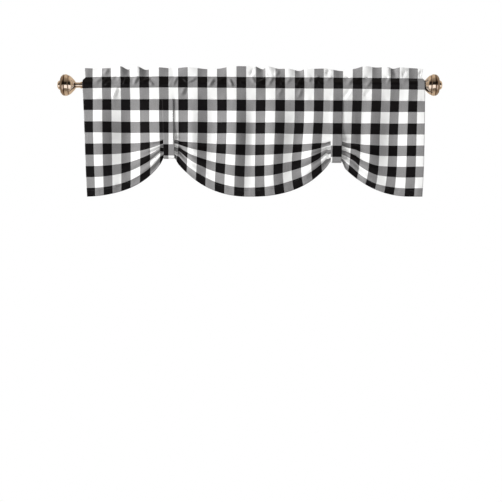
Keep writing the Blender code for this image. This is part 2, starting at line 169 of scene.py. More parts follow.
# The heading's ruffles: each crest or dip, its height above the axis and how far forward it is.
Ruffle = namedtuple("Ruffle", "x height forward")
RUFFLES = [
    Ruffle(-554, 56.0, 1),
    Ruffle(-512, 55.0, -3),
    Ruffle(-478, 56.0, 1),
    Ruffle(-437, 62.0, 6),
    Ruffle(-411, 52.0, -5),
    Ruffle(-381, 61.5, 7),
    Ruffle(-350, 51.0, -6),
    Ruffle(-309, 58.5, 4),
    Ruffle(-259, 55.5, -2),
    Ruffle(-208, 59.0, 4),
    Ruffle(-141, 53.5, -5),
    Ruffle(-110, 54.5, -3),
    Ruffle(-53, 62.5, 6),
    Ruffle(15, 62.0, 3),
    Ruffle(44, 53.0, -5),
    Ruffle(60, 61.5, 5),
    Ruffle(100, 54.0, -2),
    Ruffle(130, 54.0, 2),
    Ruffle(166, 47.5, -6),
    Ruffle(192, 53.0, 4),
    Ruffle(250, 54.5, 2),
    Ruffle(315, 47.0, -6),
    Ruffle(345, 53.0, -1),
    Ruffle(390, 62.0, 5),
    Ruffle(429, 58.5, -2),
    Ruffle(466, 59.5, 3),
    Ruffle(483, 54.5, -5),
    Ruffle(508, 58.0, 5),
    Ruffle(555, 56.0, -2),
    Ruffle(582, 52.5, 1),
]

# The skirt's upright folds: the middle of each rise or trough, and how far forward it is.
Fold = namedtuple("Fold", "x forward")
FOLDS = [
    Fold(-562, 8),
    Fold(-503, 10),
    Fold(-408, -13),
    Fold(-330, -3),
    Fold(-212, 9),
    Fold(-133, -7),
    Fold(-56, 8),
    Fold(5, -7),
    Fold(82, 9),
    Fold(157, -6),
    Fold(220, 3),
    Fold(330, -4),
    Fold(362, -8),
    Fold(393, -3),
    Fold(456, -13),
    Fold(582, 8),
]
FOLD_AT_SEAM = 0.35
FOLD_AT_HEM = 0.3

# The two straps: where each hangs and its width at the seam, the same where it turns under, and
# the drop at which its first dark row starts.
Strap = namedtuple("Strap", "name x width foot_x foot_width foot_drop row")
STRAPS = [
    Strap("strap_left", -276.5, 39.0, -272.0, 36.0, 249.3, 47.3),
    Strap("strap_right", 293.0, 41.0, 291.0, 36.0, 262.8, 52.0),
]
STRAP_ROW = 38.2 * MM
STRAP_FIRST_DARK = 2.0
STRAP_TOP_DROP = 48.0 * MM
STRAP_TOP_OUT = 2.2 * MM
STRAP_FOOT_OUT = 9.0 * MM
STRAP_LIFT_START = 140.0 * MM
STRAP_LIFT_END = 186.0 * MM
STRAP_TURN = 9.0 * MM
STRAP_RUN_STEPS = 60
STRAP_TURN_STEPS = 24
STRAP_ACROSS = 18

# Each swag's hem: where it is lowest, where it meets a strap, how far it rises there, and how
# much of that rise is the even curve. The rest is steep and comes close to the strap, inside
# which the hem is lifted further. Late is 1 where the lower rows take up the spare length.
Swag = namedtuple("Swag", "low_x strap_x rise even steep lift late")
SWAGS = [
    Swag(-555.0, -289.8, 130.0, 0.66, 6, 5.0, 0),
    Swag(-10.0, -255.4, 128.0, 0.74, 4, 7.0, 0),
    Swag(15.0, 272.6, 118.0, 0.67, 5, 3.0, 0),
    Swag(540.0, 310.4, 106.0, 0.85, 4, 15.0, 1),
]
HOLD_SPARE = 2.0 * MM
HOLD_EASE = 12.0 * MM
TAKEN_POWER = 1.3
LATE_POWER = 2.5
LATE_START = 35.0 * MM
LATE_REACH = 75.0 * MM

# Crosswise gathers: deepest beside a strap, pinched in it, and gone where the hem hangs free.
GATHERS = 4
GATHER_DEPTH = 5.5 * MM
PINCH = 0.75
SWAG_BELLY = 8.0 * MM
BELLY_REACH = 60.0 * MM

# The check: how many columns of it lie left of a place at the pocket seam, and how many rows of
# it lie above a drop. The cloth is drawn in a little here and there, so they aren't quite even.
CHECK = 1.5 * INCH
Column = namedtuple("Column", "x count")
COLUMNS = [
    Column(-560, 0.0),
    Column(-467, 3.0),
    Column(-372, 6.0),
    Column(-306, 8.0),
    Column(-241.5, 10.0),
    Column(20.6, 18.0),
    Column(151.5, 22.0),
    Column(346.5, 28.0),
    Column(444, 31.0),
    Column(474, 32.0),
    Column(565.5, 35.0),
    Column(590, 35.85),
]
Row = namedtuple("Row", "drop count")
ROWS = [
    Row(-181.5, -4.0),
    Row(126.3, 4.0),
    Row(163.8, 5.0),
    Row(201.2, 6.0),
    Row(383.2, 11.0),
]

# Creases of the pocket and heading, one by one: the middle of each, the way it runs in degrees
# from level, its length and width, and how far forward it stands. A trough is below 0.
Crease = namedtuple("Crease", "x height way length width forward")
CREASES = [
    Crease(-485, 45, 45, 24, 11, 3.9),
    Crease(-510, 17, 40, 33, 13, 4.3),
    Crease(-478, 2, 38, 26, 10, 4.3),
    Crease(-486, 17, 50, 18, 10, 3.0),
    Crease(-451, 16, 62, 29, 15, -3.9),
    Crease(-443, 21, 50, 20, 10, 3.4),
    Crease(-420, 15, 66, 35, 10, 5.4),
    Crease(-427, 12, 70, 29, 10, -3.4),
    Crease(-385, 16, 60, 33, 11, 5.4),
    Crease(-397, 8, 55, 22, 10, -3.6),
    Crease(-350, 16, 20, 31, 11, 4.3),
    Crease(-325, 12, -42, 33, 10, -4.3),
    Crease(-334, 6, -42, 24, 11, 3.4),
    Crease(-254, 13, 64, 35, 10, 4.9),
    Crease(-264, 8, 60, 29, 8, 3.6),
    Crease(-259, 11, 62, 31, 8, -3.1),
    Crease(-228, 10, -50, 35, 11, -5.4),
    Crease(-215, 17, -55, 24, 13, 3.6),
    Crease(-196, 16, 28, 33, 11, 4.3),
    Crease(-194, 3, 20, 26, 13, -3.4),
    Crease(-130, 9, 60, 33, 10, 4.6),
    Crease(-119, 4, 60, 26, 10, -3.9),
    Crease(-94, 18, 30, 26, 11, 3.0),
    Crease(-64, 7, -66, 29, 10, 4.2),
    Crease(-56, 7, -64, 26, 8, -4.3),
    Crease(-26, 10, 40, 18, 13, 3.1),
    Crease(11, 16, -60, 26, 11, 3.6),
    Crease(37, 11, 35, 42, 10, 5.4),
    Crease(40, 22, 20, 15, 10, -3.6),
    Crease(68, 10, 60, 29, 11, 3.6),
    Crease(75, 22, 45, 18, 10, 3.0),
    Crease(108, 7, -74, 29, 10, 3.6),
    Crease(99, 20, 50, 18, 10, 2.4),
    Crease(129, 13, 45, 26, 11, 3.4),
    Crease(167, 10, 60, 42, 10, 5.8),
    Crease(176, 12, 62, 33, 8, -3.4),
    Crease(200, 16, 58, 26, 11, 3.4),
    Crease(191, 3, 50, 22, 11, -3.4),
    Crease(233, 15, -62, 35, 10, 4.6),
    Crease(223, 16, 62, 29, 10, 3.1),
    Crease(267, 22, 40, 29, 11, 3.1),
    Crease(338, 11, 50, 33, 11, 4.3),
    Crease(327, 22, 42, 22, 11, -3.1),
    Crease(365, 20, 32, 24, 10, 3.1),
    Crease(401, 5, 50, 31, 11, 4.2),
    Crease(391, 19, 40, 24, 11, -3.0),
    Crease(459, 16, 60, 31, 11, -3.1),
    Crease(467, 15, 60, 26, 10, 3.0),
    Crease(521, 15, 50, 26, 13, 2.4),
    Crease(-455, -28, 60, 37, 15, 3.9),
    Crease(-447, -27, 62, 35, 11, -3.1),
    Crease(-225, -20, 60, 31, 13, 3.0),
    Crease(-215, -25, 66, 29, 10, -2.4),
    Crease(102, -24, 60, 31, 13, 2.7),
    Crease(169, -27, 70, 31, 11, 2.7),
    Crease(328, -30, 45, 40, 11, -4.6),
    Crease(336, -26, 48, 33, 11, 3.1),
    Crease(397, -27, 45, 29, 11, -3.6),
    Crease(7, 43, 60, 26, 11, -3.0),
    Crease(61, 43, -60, 26, 11, -3.1),
    Crease(92, 40, 60, 24, 11, 3.0),
    Crease(263, 43, 70, 24, 13, -3.0),
    Crease(491, 37, -52, 26, 11, -3.9),
    Crease(520, 37, 60, 22, 11, -2.4),
    Crease(577, 40, 55, 22, 11, -3.0),
]
# A crease fades towards its ends and is gone at this many half lengths from its middle. It isn't
# worked out further than this many widths past its end.
CREASE_FADE = 1.25
CREASE_MARGIN = 3

# How far back a trough may go: least where the cloth lies on the rod.
ROOM_AT_ROD = 0.7 * MM
ROOM_OFF_ROD = 2.6 * MM

# Small puckers that the stitching draws in, and how much stronger they are along the hem's own
# line. The two waves don't match, so no two are alike.
PUCKER_DEPTH = 0.7 * MM
PUCKER_REACH = 16.0 * MM
PUCKER_WAVES = (31.0 * MM, 47.0 * MM)
HEM_PUCKER = 1.3

# The panel's mesh.
PANEL_COLUMNS = 400
SKIRT_LOW_ROWS = 42
SKIRT_HIGH_ROWS = 16
POCKET_FRONT_ROWS = 30
HEADING_FRONT_ROWS = 9
HEADING_BACK_ROWS = 6
POCKET_BACK_ROWS = 12
LAYER_GAP = 0.3 * MM
LAYER_EASE = 30.0 * MM
TURNED_UNDER = 5.0 * MM
BOTTOM_HEM = 24.0 * MM
SIDE_HEM = 12.0 * MM

# Stitching.
STITCH_PITCH = 3.8 * MM
STITCH_SHARE = 0.8
STITCH_RADIUS = 0.28 * MM
HEM_STITCH_RISE = 21.0 * MM
LEAST_SHORTENING = 0.5
# The left strap's overlocked right edge: dark thread that is partly stitching and partly painted
# shade along that edge.
OVERLOCK_PITCH = 1.5 * MM
OVERLOCK_REACH = 4.6 * MM
OVERLOCK_END_DROP = 203.0 * MM
OVERLOCK_RADIUS = STITCH_RADIUS * 1.6
OVERLOCK_OUT = 0.75
OVERLOCK_STEPS = 400
FRONT_RUN = 0.5
RIGHT_EDGE = 0.5

# Outlines of what is turned, from its outer end inwards: distance, radius, whether that is a
# corner, and how much painted shade darkens the plating there, as painted reflection on the bulb
# and painted shade in the grooves and the collar's hollows.
Turning = namedtuple("Turning", "along radius corner dark")
FINIAL_OUTLINE = [
    Turning(0.0, 0.0, 1, 0.1),
    Turning(0.4, 6.5, 0, 0.0),
    Turning(1.6, 10.6, 0, 0.0),
    Turning(4.0, 13.6, 0, 0.0),
    Turning(7.4, 15.5, 0, 0.0),
    Turning(9.8, 16.2, 1, 0.8),
    Turning(11.1, 24.9, 1, 0.8),
    Turning(13.6, 29.6, 1, 0.6),
    Turning(14.2, 29.4, 1, 1.0),
    Turning(14.8, 31.0, 1, 0.6),
    Turning(18.2, 34.0, 0, 0.6),
    Turning(22.6, 36.2, 1, 0.5),
    Turning(23.4, 35.4, 0, 1.0),
    Turning(25.4, 35.5, 0, 1.0),
    Turning(26.2, 36.6, 1, 0.3),
    Turning(27.6, 36.7, 0, 0.1),
    Turning(32.0, 36.0, 0, 0.1),
    Turning(36.4, 34.4, 1, 0.2),
    Turning(38.6, 32.3, 0, 0.9),
    Turning(40.8, 32.5, 1, 0.2),
    Turning(46.8, 28.3, 0, 0.0),
    Turning(51.5, 23.4, 0, 0.1),
    Turning(58.6, 15.6, 0, 0.2),
    Turning(61.5, 10.6, 0, 0.5),
    Turning(64.0, 9.3, 0, 0.2),
    Turning(76.0, 9.3, 0, 0.1),
    Turning(78.4, 9.9, 1, 0.6),
    Turning(78.4, 0.0, 1, 0.6),
]
COLLAR_OUTLINE = [
    Turning(0.0, 0.0, 1, 0.6),
    Turning(0.0, 10.6, 1, 0.6),
    Turning(1.0, 11.4, 0, 0.0),
    Turning(4.4, 11.4, 0, 0.0),
    Turning(5.2, 10.6, 1, 1.0),
    Turning(7.6, 11.6, 0, 0.2),
    Turning(10.4, 14.0, 0, 0.0),
    Turning(12.4, 14.5, 1, 0.1),
    Turning(26.0, 14.5, 1, 0.2),
    Turning(26.0, 13.0, 1, 0.5),
    Turning(11.0, 13.0, 1, 0.5),
    Turning(11.0, 0.0, 1, 0.5),
]
CURVE_STEPS = 5
MERGE_DISTANCE = 0.01 * MM
CORNER_ANGLE = math.radians(40)

# The camera faces the cloth squarely, well below the rod, as the photo's did.
PHOTO_PIXELS = 502
PIXEL = 3.37 * MM
VIEW_X = 4.0 * MM
VIEW_HEIGHT = -560.0 * MM
VIEW_DISTANCE = 5.0
VIEW_PLANE_Y = -8.0 * MM
FLOOR_HEIGHT = -2.2
FLOOR_SIZE = 7.0

# The lamps: name, place, width, height and power. The room's own light, and what polished metal
# mirrors of it: how bright it is from straight down (0) to straight up (1), and how warm.
LAMPS = [
    ("key", (-6.4, -2.7, 1.5), 2.4, 2.4, 830.0),
    ("fill", (2.0, -4.6, -0.6), 3.0, 1.2, 20.0),
]
LAMP_AIM = (0.0, 0.0, -0.15)
ROOM_LIGHT = 0.27
ROOM_BANDS = [
    (0.0, 0.55, 1),
    (0.08, 0.30, 1),
    (0.18, 0.26, 1),
    (0.23, 1.7, 0),
    (0.455, 1.7, 0),
    (0.49, 0.04, 1),
    (0.70, 0.02, 1),
    (0.80, 0.24, 1),
    (1.0, 0.50, 1),
]
ROOM_BEHIND = 0.85
WARMTH = (1.0, 0.86, 0.68)

# Behind the cloth the room is even, which takes over between these values of a direction's Y.
BEHIND_START = -0.3
BEHIND_END = 0.05

# A Mix node's sockets for numbers and for colours.
NUMBER_A = 2
NUMBER_B = 3
COLOUR_A = 6
COLOUR_B = 7
COLOUR_OUT = 2

# How many finer layers each noise pattern has.
FINE_DETAIL = 2.0
CLOUD_DETAIL = 3.0

# The cotton: its threads as drawn, how far the check's dyed edges wander, and the thicker places
# in its yarn. Then how much each shows in the mixed grey, the weave's relief, and its shine.
DRAWN_THREAD = 3 * 0.42 * MM
FRAY_SIZE = 2.0 * MM
FRAY_REACH = 1.0 * MM
SLUB_WIDTH = 1.6 * MM
SLUB_LENGTH = 60.0 * MM
THREAD_CONTRAST = 0.3
SLUB_CONTRAST = 0.36
WEAVE_STRENGTH = 0.35
WEAVE_DEPTH = 0.15 * MM
COTTON_ROUGHNESS = 0.54
CROWN_LUSTRE = 0.08
COTTON_SPECULAR = 0.08
COTTON_SHEEN = 0.4
COTTON_SHEEN_ROUGHNESS = 0.3

# The sewing thread's twist, and how dark the painted shade in its hollows is.
TWIST_PITCH = 1.2 * MM
TWIST_UNEVEN = 1.5
TWIST_DETAIL = 1.0
TWIST_SHADE = 0.7
TWIST_STRENGTH = 0.4
TWIST_DEPTH = 0.1 * MM
THREAD_ROUGHNESS = 0.6

# The bronze: its cloudy tone, its buffing marks, and how dull they and the grooves leave it.
CLOUD_SIZE = 14.0 * MM
CLOUD_CONTRAST = 0.5
CLOUD_START = -0.15
BUFFING_WIDTH = 0.7 * MM
BUFFING_LENGTH = 30.0 * MM
BUFFING_STRENGTH = 0.08
BUFFING_DEPTH = 0.1 * MM
BUFFING_ROUGHNESS = 0.08
POLISH_ROUGHNESS = 0.05
GROOVE_ROUGHNESS = 0.2

# The tube's drawn lines and its paint, and the floor's cloudiness.
DRAWN_LINE_LENGTH = 80.0 * MM
DRAWN_LINE_WIDTH = 0.8 * MM
LINE_ROUGHNESS = 0.15
PAINT_ROUGHNESS = 0.3
PAINT_METALLIC = 0.9
FLOOR_CLOUD_SCALE = 0.8
FLOOR_SHADE = 0.97
FLOOR_ROUGHNESS = 0.8


def linear(code):
    """An sRGB hex colour as linear red, green and blue."""
    parts = [int(code[at : at + 2], 16) / 255 for at in (0, 2, 4)]
    return [part / 12.92 if part <= 0.04045 else ((part + 0.055) / 1.055) ** 2.4 for part in parts]


def smooth(share):
    """An even ease from 0 to 1."""
    share = min(max(share, 0.0), 1.0)
    return share * share * (3.0 - 2.0 * share)


def read(table, key, column, place):
    """A column's value in metres, eased between the rows on either side of a place."""
    at = place / MM
    if at <= getattr(table[0], key):
        return getattr(table[0], column) * MM
    for before, after in zip(table, table[1:]):
        start, end = getattr(before, key), getattr(after, key)
        if at <= end:
            share = smooth((at - start) / (end - start))
            low, high = getattr(before, column), getattr(after, column)
            return (low + (high - low) * share) * MM
    return getattr(table[-1], column) * MM


def check_columns(x):
    """How far across the flat cloth a warp line lies that stands at x at the pocket seam."""
    places = [row.x * MM for row in COLUMNS]
    return float(np.interp(x, places, [row.count for row in COLUMNS])) * CHECK


def check_rows(drop):
    """How far down the flat cloth a line at this drop lies."""
    places = [row.drop * MM for row in ROWS]
    return float(np.interp(drop, places, [row.count for row in ROWS])) * CHECK


def strap_at(hem_x):
    """The nearer strap, and how far a place on the hem is outside its hold."""
    near = min(STRAPS, key=lambda strap: abs(hem_x - strap.foot_x * MM))
    outside = abs(hem_x - near.foot_x * MM) - near.foot_width * MM / 2 - HOLD_SPARE
    return near, max(outside, 0.0)


def swag_at(hem_x):
    """The swag that a place on the hem belongs to."""
    at = hem_x / MM
    if at < STRAPS[0].foot_x:
        return SWAGS[0]
    if at > STRAPS[1].foot_x:
        return SWAGS[3]
    return SWAGS[1] if at < SWAGS[1].low_x else SWAGS[2]


def hem_drop(hem_x):
    """How low the hem hangs. It is lifted a little more where a strap holds it."""
    swag = swag_at(hem_x)
    share = (hem_x / MM - swag.low_x) / (swag.strap_x - swag.low_x)
    share = min(max(share, 0.0), 1.0)
    rise = swag.rise * (swag.even * share**2 + (1.0 - swag.even) * share**swag.steep)
    _, outside = strap_at(hem_x)
    return HEM - (rise + swag.lift * (1.0 - smooth(outside / HOLD_EASE))) * MM


class WarpLine:
    """One warp line of the panel, from its place on the hem: where it runs, and how it is folded."""

    def __init__(self, hem_x):
        self.hem_x = hem_x
        self.start = hem_x + read(WARPS, "hem_x", "back", hem_x)
        self.bow = read(WARPS, "hem_x", "bow", hem_x)
        self.low_bow = read(WARPS, "hem_x", "low", hem_x)
        self.hem = hem_drop(hem_x)
        self.shortening = (self.hem - GATHER_LINE) / (HEM - GATHER_LINE)
        _, outside = strap_at(hem_x)
        self.early = smooth(outside / HOLD_EASE)
        self.late = swag_at(hem_x).late * min(max((outside - LATE_START) / LATE_REACH, 0.0), 1.0)
        self.free = smooth(outside / BELLY_REACH)
        pinch = PINCH + (1.0 - PINCH) * smooth(outside / HOLD_EASE)
        self.depth = GATHER_DEPTH * (1.0 - self.shortening) * pinch
        self.fold = read(FOLDS, "x", "forward", hem_x) * self.free
        self.pocket_sag = read(SAGS, "x", "pocket", hem_x)
        self.skirt_sag = read(SAGS, "x", "skirt", hem_x)
        self.low_sag = read(SAGS, "x", "low", hem_x)
        self.left_reach = smooth(1.0 - (self.start - start_of(WARPS[0])) / EDGE_PULL_REACH)
        self.right_reach = smooth(1.0 - (start_of(WARPS[-1]) - self.start) / EDGE_PULL_REACH)
        seam_x = self.across(HEADING_SEAM)
        self.top = read(RUFFLES, "x", "height", seam_x)
        self.ruffle = read(RUFFLES, "x", "forward", seam_x)
        loose = smooth((abs(hem_x) - COLLAR_REACH) / COLLAR_EASE)
        self.round = POCKET_ROUND + (POCKET_ROUND_AT_COLLAR - POCKET_ROUND) * loose

    def hung(self, drop):
        """The height at which a point of the cloth hangs, as a drop below the axis."""
        if drop <= GATHER_LINE:
            return drop
        low = (drop - GATHER_LINE) / (HEM - GATHER_LINE)
        early = low + (math.sin(math.pi / 2 * low**TAKEN_POWER) - low) * self.early
        taken = early + (low**LATE_POWER - early) * self.late
        return drop - (HEM - self.hem) * taken

    def across(self, drop):
        """Where the line stands at this drop."""
        if drop <= POCKET_SEAM:
            pull_left = read(EDGE_PULLS, "drop", "left", drop) * self.left_reach
            pull_right = read(EDGE_PULLS, "drop", "right", drop) * self.right_reach
            spread_start = EDGE_PULLS[2].drop * MM
            spread = smooth((drop - spread_start) / (HEADING_SEAM - spread_start))
            spread *= HEADING_SPREAD * self.start / start_of(WARPS[-1])
            return self.start + pull_left + pull_right + spread
        down = (self.hung(drop) - POCKET_SEAM) / (self.hem - POCKET_SEAM)
        bow = (self.bow * 4.0 * down + self.low_bow * LOW_BOW * down**3) * (1.0 - down)
        return self.start + (self.hem_x - self.start) * down + bow

    def sag(self, drop):
        """How much lower than the even layout the cloth hangs at this drop."""
        turn, full, free, low, held, gone = SAG_DROPS
        below = smooth((drop - turn) / (full - turn))
        sag = self.pocket_sag + (self.skirt_sag - self.pocket_sag) * below
        sag += (self.low_sag - sag) * smooth((drop - free) / (low - free))
        return sag * (1.0 - smooth((drop - held) / (gone - held)))

    def skirt_forward(self, drop):
        """How far the skirt's middle surface stands towards the room."""
        down = smooth((drop - POCKET_SEAM) / (GATHER_LINE - POCKET_SEAM))
        low = max(drop - GATHER_LINE, 0.0) / (HEM - GATHER_LINE)
        at_seam = FOLD_AT_SEAM + (1.0 - FOLD_AT_SEAM) * down
        gather = self.depth * math.sin(2.0 * math.pi * GATHERS * low)
        belly = SWAG_BELLY * self.free * math.sin(math.pi * low)
        return self.fold * at_seam * (1.0 - (1.0 - FOLD_AT_HEM) * low) + gather + belly

    def pocket_outline(self, count):
        """The pocket's middle line from its top seam to its foot: drop, how far out, and how held."""
        top = HEADING_SEAM + self.sag(HEADING_SEAM)
        foot = POCKET_SEAM + self.sag(POCKET_SEAM)
        first = math.acos(self.round / -top)
        last = math.pi - math.acos(self.round / foot)
        upper = self.round * math.tan(first)
        bend = self.round * (last - first)
        lower = -self.round * math.tan(last)
        outline = []
        for step in range(count + 1):
            along = (upper + bend + lower) * step / count
            if along < upper:
                share = along / upper
                drop = top + (-self.round * math.cos(first) - top) * share
                out = self.round * math.sin(first) * share
                held = share
            elif along <= upper + bend:
                angle = first + (along - upper) / self.round
                drop = -self.round * math.cos(angle)
                out = self.round * math.sin(angle)
                held = 1.0
            else:
                share = 1.0 - (along - upper - bend) / lower
                drop = foot + (-self.round * math.cos(last) - foot) * share
                out = self.round * math.sin(last) * share
                held = share
            outline.append((drop, out, held))
        return outline


def start_of(warp):
    """Where a warp line of the table stands at the pocket seam."""
    return (warp.hem_x + warp.back) * MM


def crease_forward(x, height):
    """How far the creases of the pocket and heading push the cloth forward here."""
    forward = 0.0
    for crease in CREASES:
        dx, dz = x - crease.x * MM, height - crease.height * MM
        reach = crease.length * MM / 2
        far = reach + CREASE_MARGIN * crease.width * MM
        if abs(dx) > far or abs(dz) > far:
            continue
        way = math.radians(crease.way)
        along = dx * math.cos(way) + dz * math.sin(way)
        off = -dx * math.sin(way) + dz * math.cos(way)
        fade = smooth(CREASE_FADE - abs(along) / reach)
        forward += crease.forward * MM * fade * math.exp(-((off / (crease.width * MM / 2)) ** 2))
    return forward


def pucker(x, off_seam):
    """The stitching's small puckers, which fade away from its line."""
    waves = [math.sin(2.0 * math.pi * x / wave + number) for number, wave in enumerate(PUCKER_WAVES)]
    return PUCKER_DEPTH * sum(waves) / 2 * math.exp(-((off_seam / PUCKER_REACH) ** 2))


def heading_y(line, up, side, gap):
    """Where a layer of the heading stands. Up is 0 at its seam and 1 at its top."""
    sway = line.ruffle * (FOLD_AT_SEAM + (1.0 - FOLD_AT_SEAM) * up)
    return -sway + side * gap


def panel_column(line, thickness):
    """The cloth's middle line, from the hem up the front, over the heading's top and down the back.

    Each point is its place, how far down the flat cloth it lies, and whether it is a hem.
    """
    gap = (thickness + LAYER_GAP) / 2
    seam = -HEADING_SEAM - line.sag(HEADING_SEAM)
    points = []

    def add(x, y, z, flat, hem):
        points.append((x, y, z, flat, hem))

    low = [
        HEM - (HEM - GATHER_LINE) * step / SKIRT_LOW_ROWS for step in range(SKIRT_LOW_ROWS)
    ]
    high = [
        GATHER_LINE - (GATHER_LINE - POCKET_SEAM) * step / SKIRT_HIGH_ROWS
        for step in range(SKIRT_HIGH_ROWS)
    ]
    for drop in low + high:
        x = line.across(drop)
        off = drop - POCKET_SEAM
        y = -line.skirt_forward(drop) - pucker(line.start, off)
        y -= gap * (1.0 - smooth(off / LAYER_EASE))
        y -= HEM_PUCKER * pucker(line.hem_x, HEM - HEM_STITCH_RISE - drop)
        z = -line.hung(drop) - line.sag(drop)
        add(x, y, z, check_rows(drop), 1.0 if HEM - drop < BOTTOM_HEM else 0.0)
    outline = line.pocket_outline(POCKET_FRONT_ROWS)
    for drop, out, held in reversed(outline):
        x = line.across(drop)
        sway = line.ruffle if drop < 0 else line.fold
        off = min(drop - outline[0][0], outline[-1][0] - drop)
        room = ROOM_AT_ROD + (ROOM_OFF_ROD - ROOM_AT_ROD) * (1.0 - held)
        crease = max(crease_forward(x, -drop), -room) + pucker(line.start, off) * (1.0 - held)
        y = -sway * FOLD_AT_SEAM * (1.0 - held) - out - gap * (1.0 - held) - crease
        add(x, y, -drop, check_rows(drop - line.sag(drop)), 0.0)
    for step in range(1, HEADING_FRONT_ROWS + 1):
        up = step / HEADING_FRONT_ROWS
        z = seam + (line.top - seam) * up
        x = line.across(-z)
        crease = crease_forward(x, z) + pucker(line.start, z - seam)
        y = heading_y(line, up, -1, gap) - crease
        add(x, y, z, check_rows(-z - line.sag(-z)), 0.0)
    top_y = heading_y(line, 1.0, 0, gap) - crease_forward(x, line.top)
    top_flat = check_rows(-line.top - line.sag(-line.top))
    for angle in (45, 90, 135):
        turn = math.radians(angle)
        y, z = top_y - gap * math.cos(turn), line.top + gap * math.sin(turn)
        add(x, y, z, top_flat, 0.0)
    for step in range(HEADING_BACK_ROWS):
        up = 1.0 - step / HEADING_BACK_ROWS
        z = seam + (line.top - seam) * up
        x = line.across(-z)
        crease = crease_forward(x, z) + pucker(line.start, z - seam)
        add(x, heading_y(line, up, 1, gap) - crease, z, top_flat - (line.top - z), 0.0)
    outline = line.pocket_outline(POCKET_BACK_ROWS)
    flat = top_flat - (line.top - seam)
    last = None
    for drop, out, held in outline:
        x = line.across(drop)
        sway = line.ruffle if drop < 0 else line.fold
        off = min(drop - outline[0][0], outline[-1][0] - drop)
        y = -sway * FOLD_AT_SEAM * (1.0 - held) + out + gap * (1.0 - held)
        y -= pucker(line.start, off) * (1.0 - held)
        flat -= math.dist(last, (y, drop)) if last else 0.0
        last = (y, drop)
        add(x, y, -drop, flat, 0.0)
    foot = POCKET_SEAM + line.sag(POCKET_SEAM) + TURNED_UNDER
    y = last[0] + LAYER_GAP
    add(line.across(foot), y, -foot, flat - TURNED_UNDER, 0.0)
    return points


def sheet_object(name, places, flats, thickness, extra):
    """A closed thin sheet from a grid of points on its middle surface, with the flat cloth's map.

    The front is half the thickness out, and the back as much, and more where it is hemmed.
    """
    along = np.gradient(places, axis=0)
    up = np.gradient(places, axis=1)
    normals = np.cross(along, up)
    normals /= np.linalg.norm(normals, axis=2, keepdims=True)
    front = places + normals * thickness / 2
    back = places - normals * (thickness / 2 + extra[..., None])
    columns, rows = places.shape[:2]
    number = np.arange(columns * rows).reshape(columns, rows)
    other = number + columns * rows

    def quads(grid, flip):
        corners = [grid[:-1, :-1], grid[1:, :-1], grid[1:, 1:], grid[:-1, 1:]]
        return np.stack(corners[::-1] if flip else corners, axis=2).reshape(-1, 4)

    def rim(edge, mate, flip):
        corners = [edge[:-1], mate[:-1], mate[1:], edge[1:]]
        return np.stack(corners[::-1] if flip else corners, axis=1)

    faces = [
        quads(number, False),
        quads(other, True),
        rim(number[:, 0], other[:, 0], False),
        rim(number[:, -1], other[:, -1], True),
        rim(number[0], other[0], True),
        rim(number[-1], other[-1], False),
    ]
    faces = np.concatenate(faces)
    vertices = np.concatenate([front.reshape(-1, 3), back.reshape(-1, 3)])
    mesh = bpy.data.meshes.new(name)
    mesh.from_pydata(vertices.tolist(), [], faces.tolist())
    flat = np.concatenate([flats.reshape(-1, 2)] * 2)
    corners = np.empty(len(mesh.loops), np.int32)
    mesh.loops.foreach_get("vertex_index", corners)
    layer = mesh.uv_layers.new(name=CLOTH_MAP)
    layer.uv.foreach_set("vector", flat[corners].astype(np.float32).ravel())
    mesh.shade_smooth()
    piece = bpy.data.objects.new(name, mesh)
    bpy.context.scene.collection.objects.link(piece)
    return piece


def panel_places():
    """Places along the hem, from the left edge to the right."""
    left, right = WARPS[0].hem_x * MM, WARPS[-1].hem_x * MM
    return [left + (right - left) * step / PANEL_COLUMNS for step in range(PANEL_COLUMNS + 1)]


def strap_point(strap, share, sideways):
    """A point of a strap's middle surface, and where it lies on the flat cloth.

    Share runs from 0 at the front of the seam to 1 at its back, and sideways from -0.5 to 0.5.
    """
    top = STRAP_TOP_DROP + WarpLine(strap.foot_x * MM).sag(POCKET_SEAM)
    turn = strap.foot_drop * MM - STRAP_TURN
    run = turn - top
    deep = STRAP_TURN - strap_thickness() / 2
    under = math.pi * (STRAP_FOOT_OUT + deep) / 2
    along = (2 * run + under) * share
    if along <= run or along >= run + under:
        behind = along > run
        drop = top + (2 * run + under - along if behind else along)
        reach = smooth((drop - STRAP_LIFT_START) / (STRAP_LIFT_END - STRAP_LIFT_START))
        out = STRAP_TOP_OUT + (STRAP_FOOT_OUT - STRAP_TOP_OUT) * reach
        y = out if behind else -out
    else:
        angle = math.pi * (along - run) / under
        y = -STRAP_FOOT_OUT * math.cos(angle)
        drop = turn + deep * math.sin(angle)
    down = (drop - STRAP_TOP_DROP) / (strap.foot_drop * MM - STRAP_TOP_DROP)
    centre = (strap.x + (strap.foot_x - strap.x) * down) * MM
    width = (strap.width + (strap.foot_width - strap.width) * down) * MM
    x = centre + width * sideways
    lean = read(WARPS, "hem_x", "back", strap.foot_x * MM) * (1.0 - max(down, 0.0))
    warp = x + read(WARPS, "hem_x", "back", strap.foot_x * MM) - lean
    row = STRAP_FIRST_DARK + (top + along - strap.row * MM) / STRAP_ROW
    return (x, y, -drop), (check_columns(warp), row * CHECK)


def strap_thickness():
    """The straps are of the panel's cloth."""
    return bpy.context.scene.valance_sizes.cloth_thickness


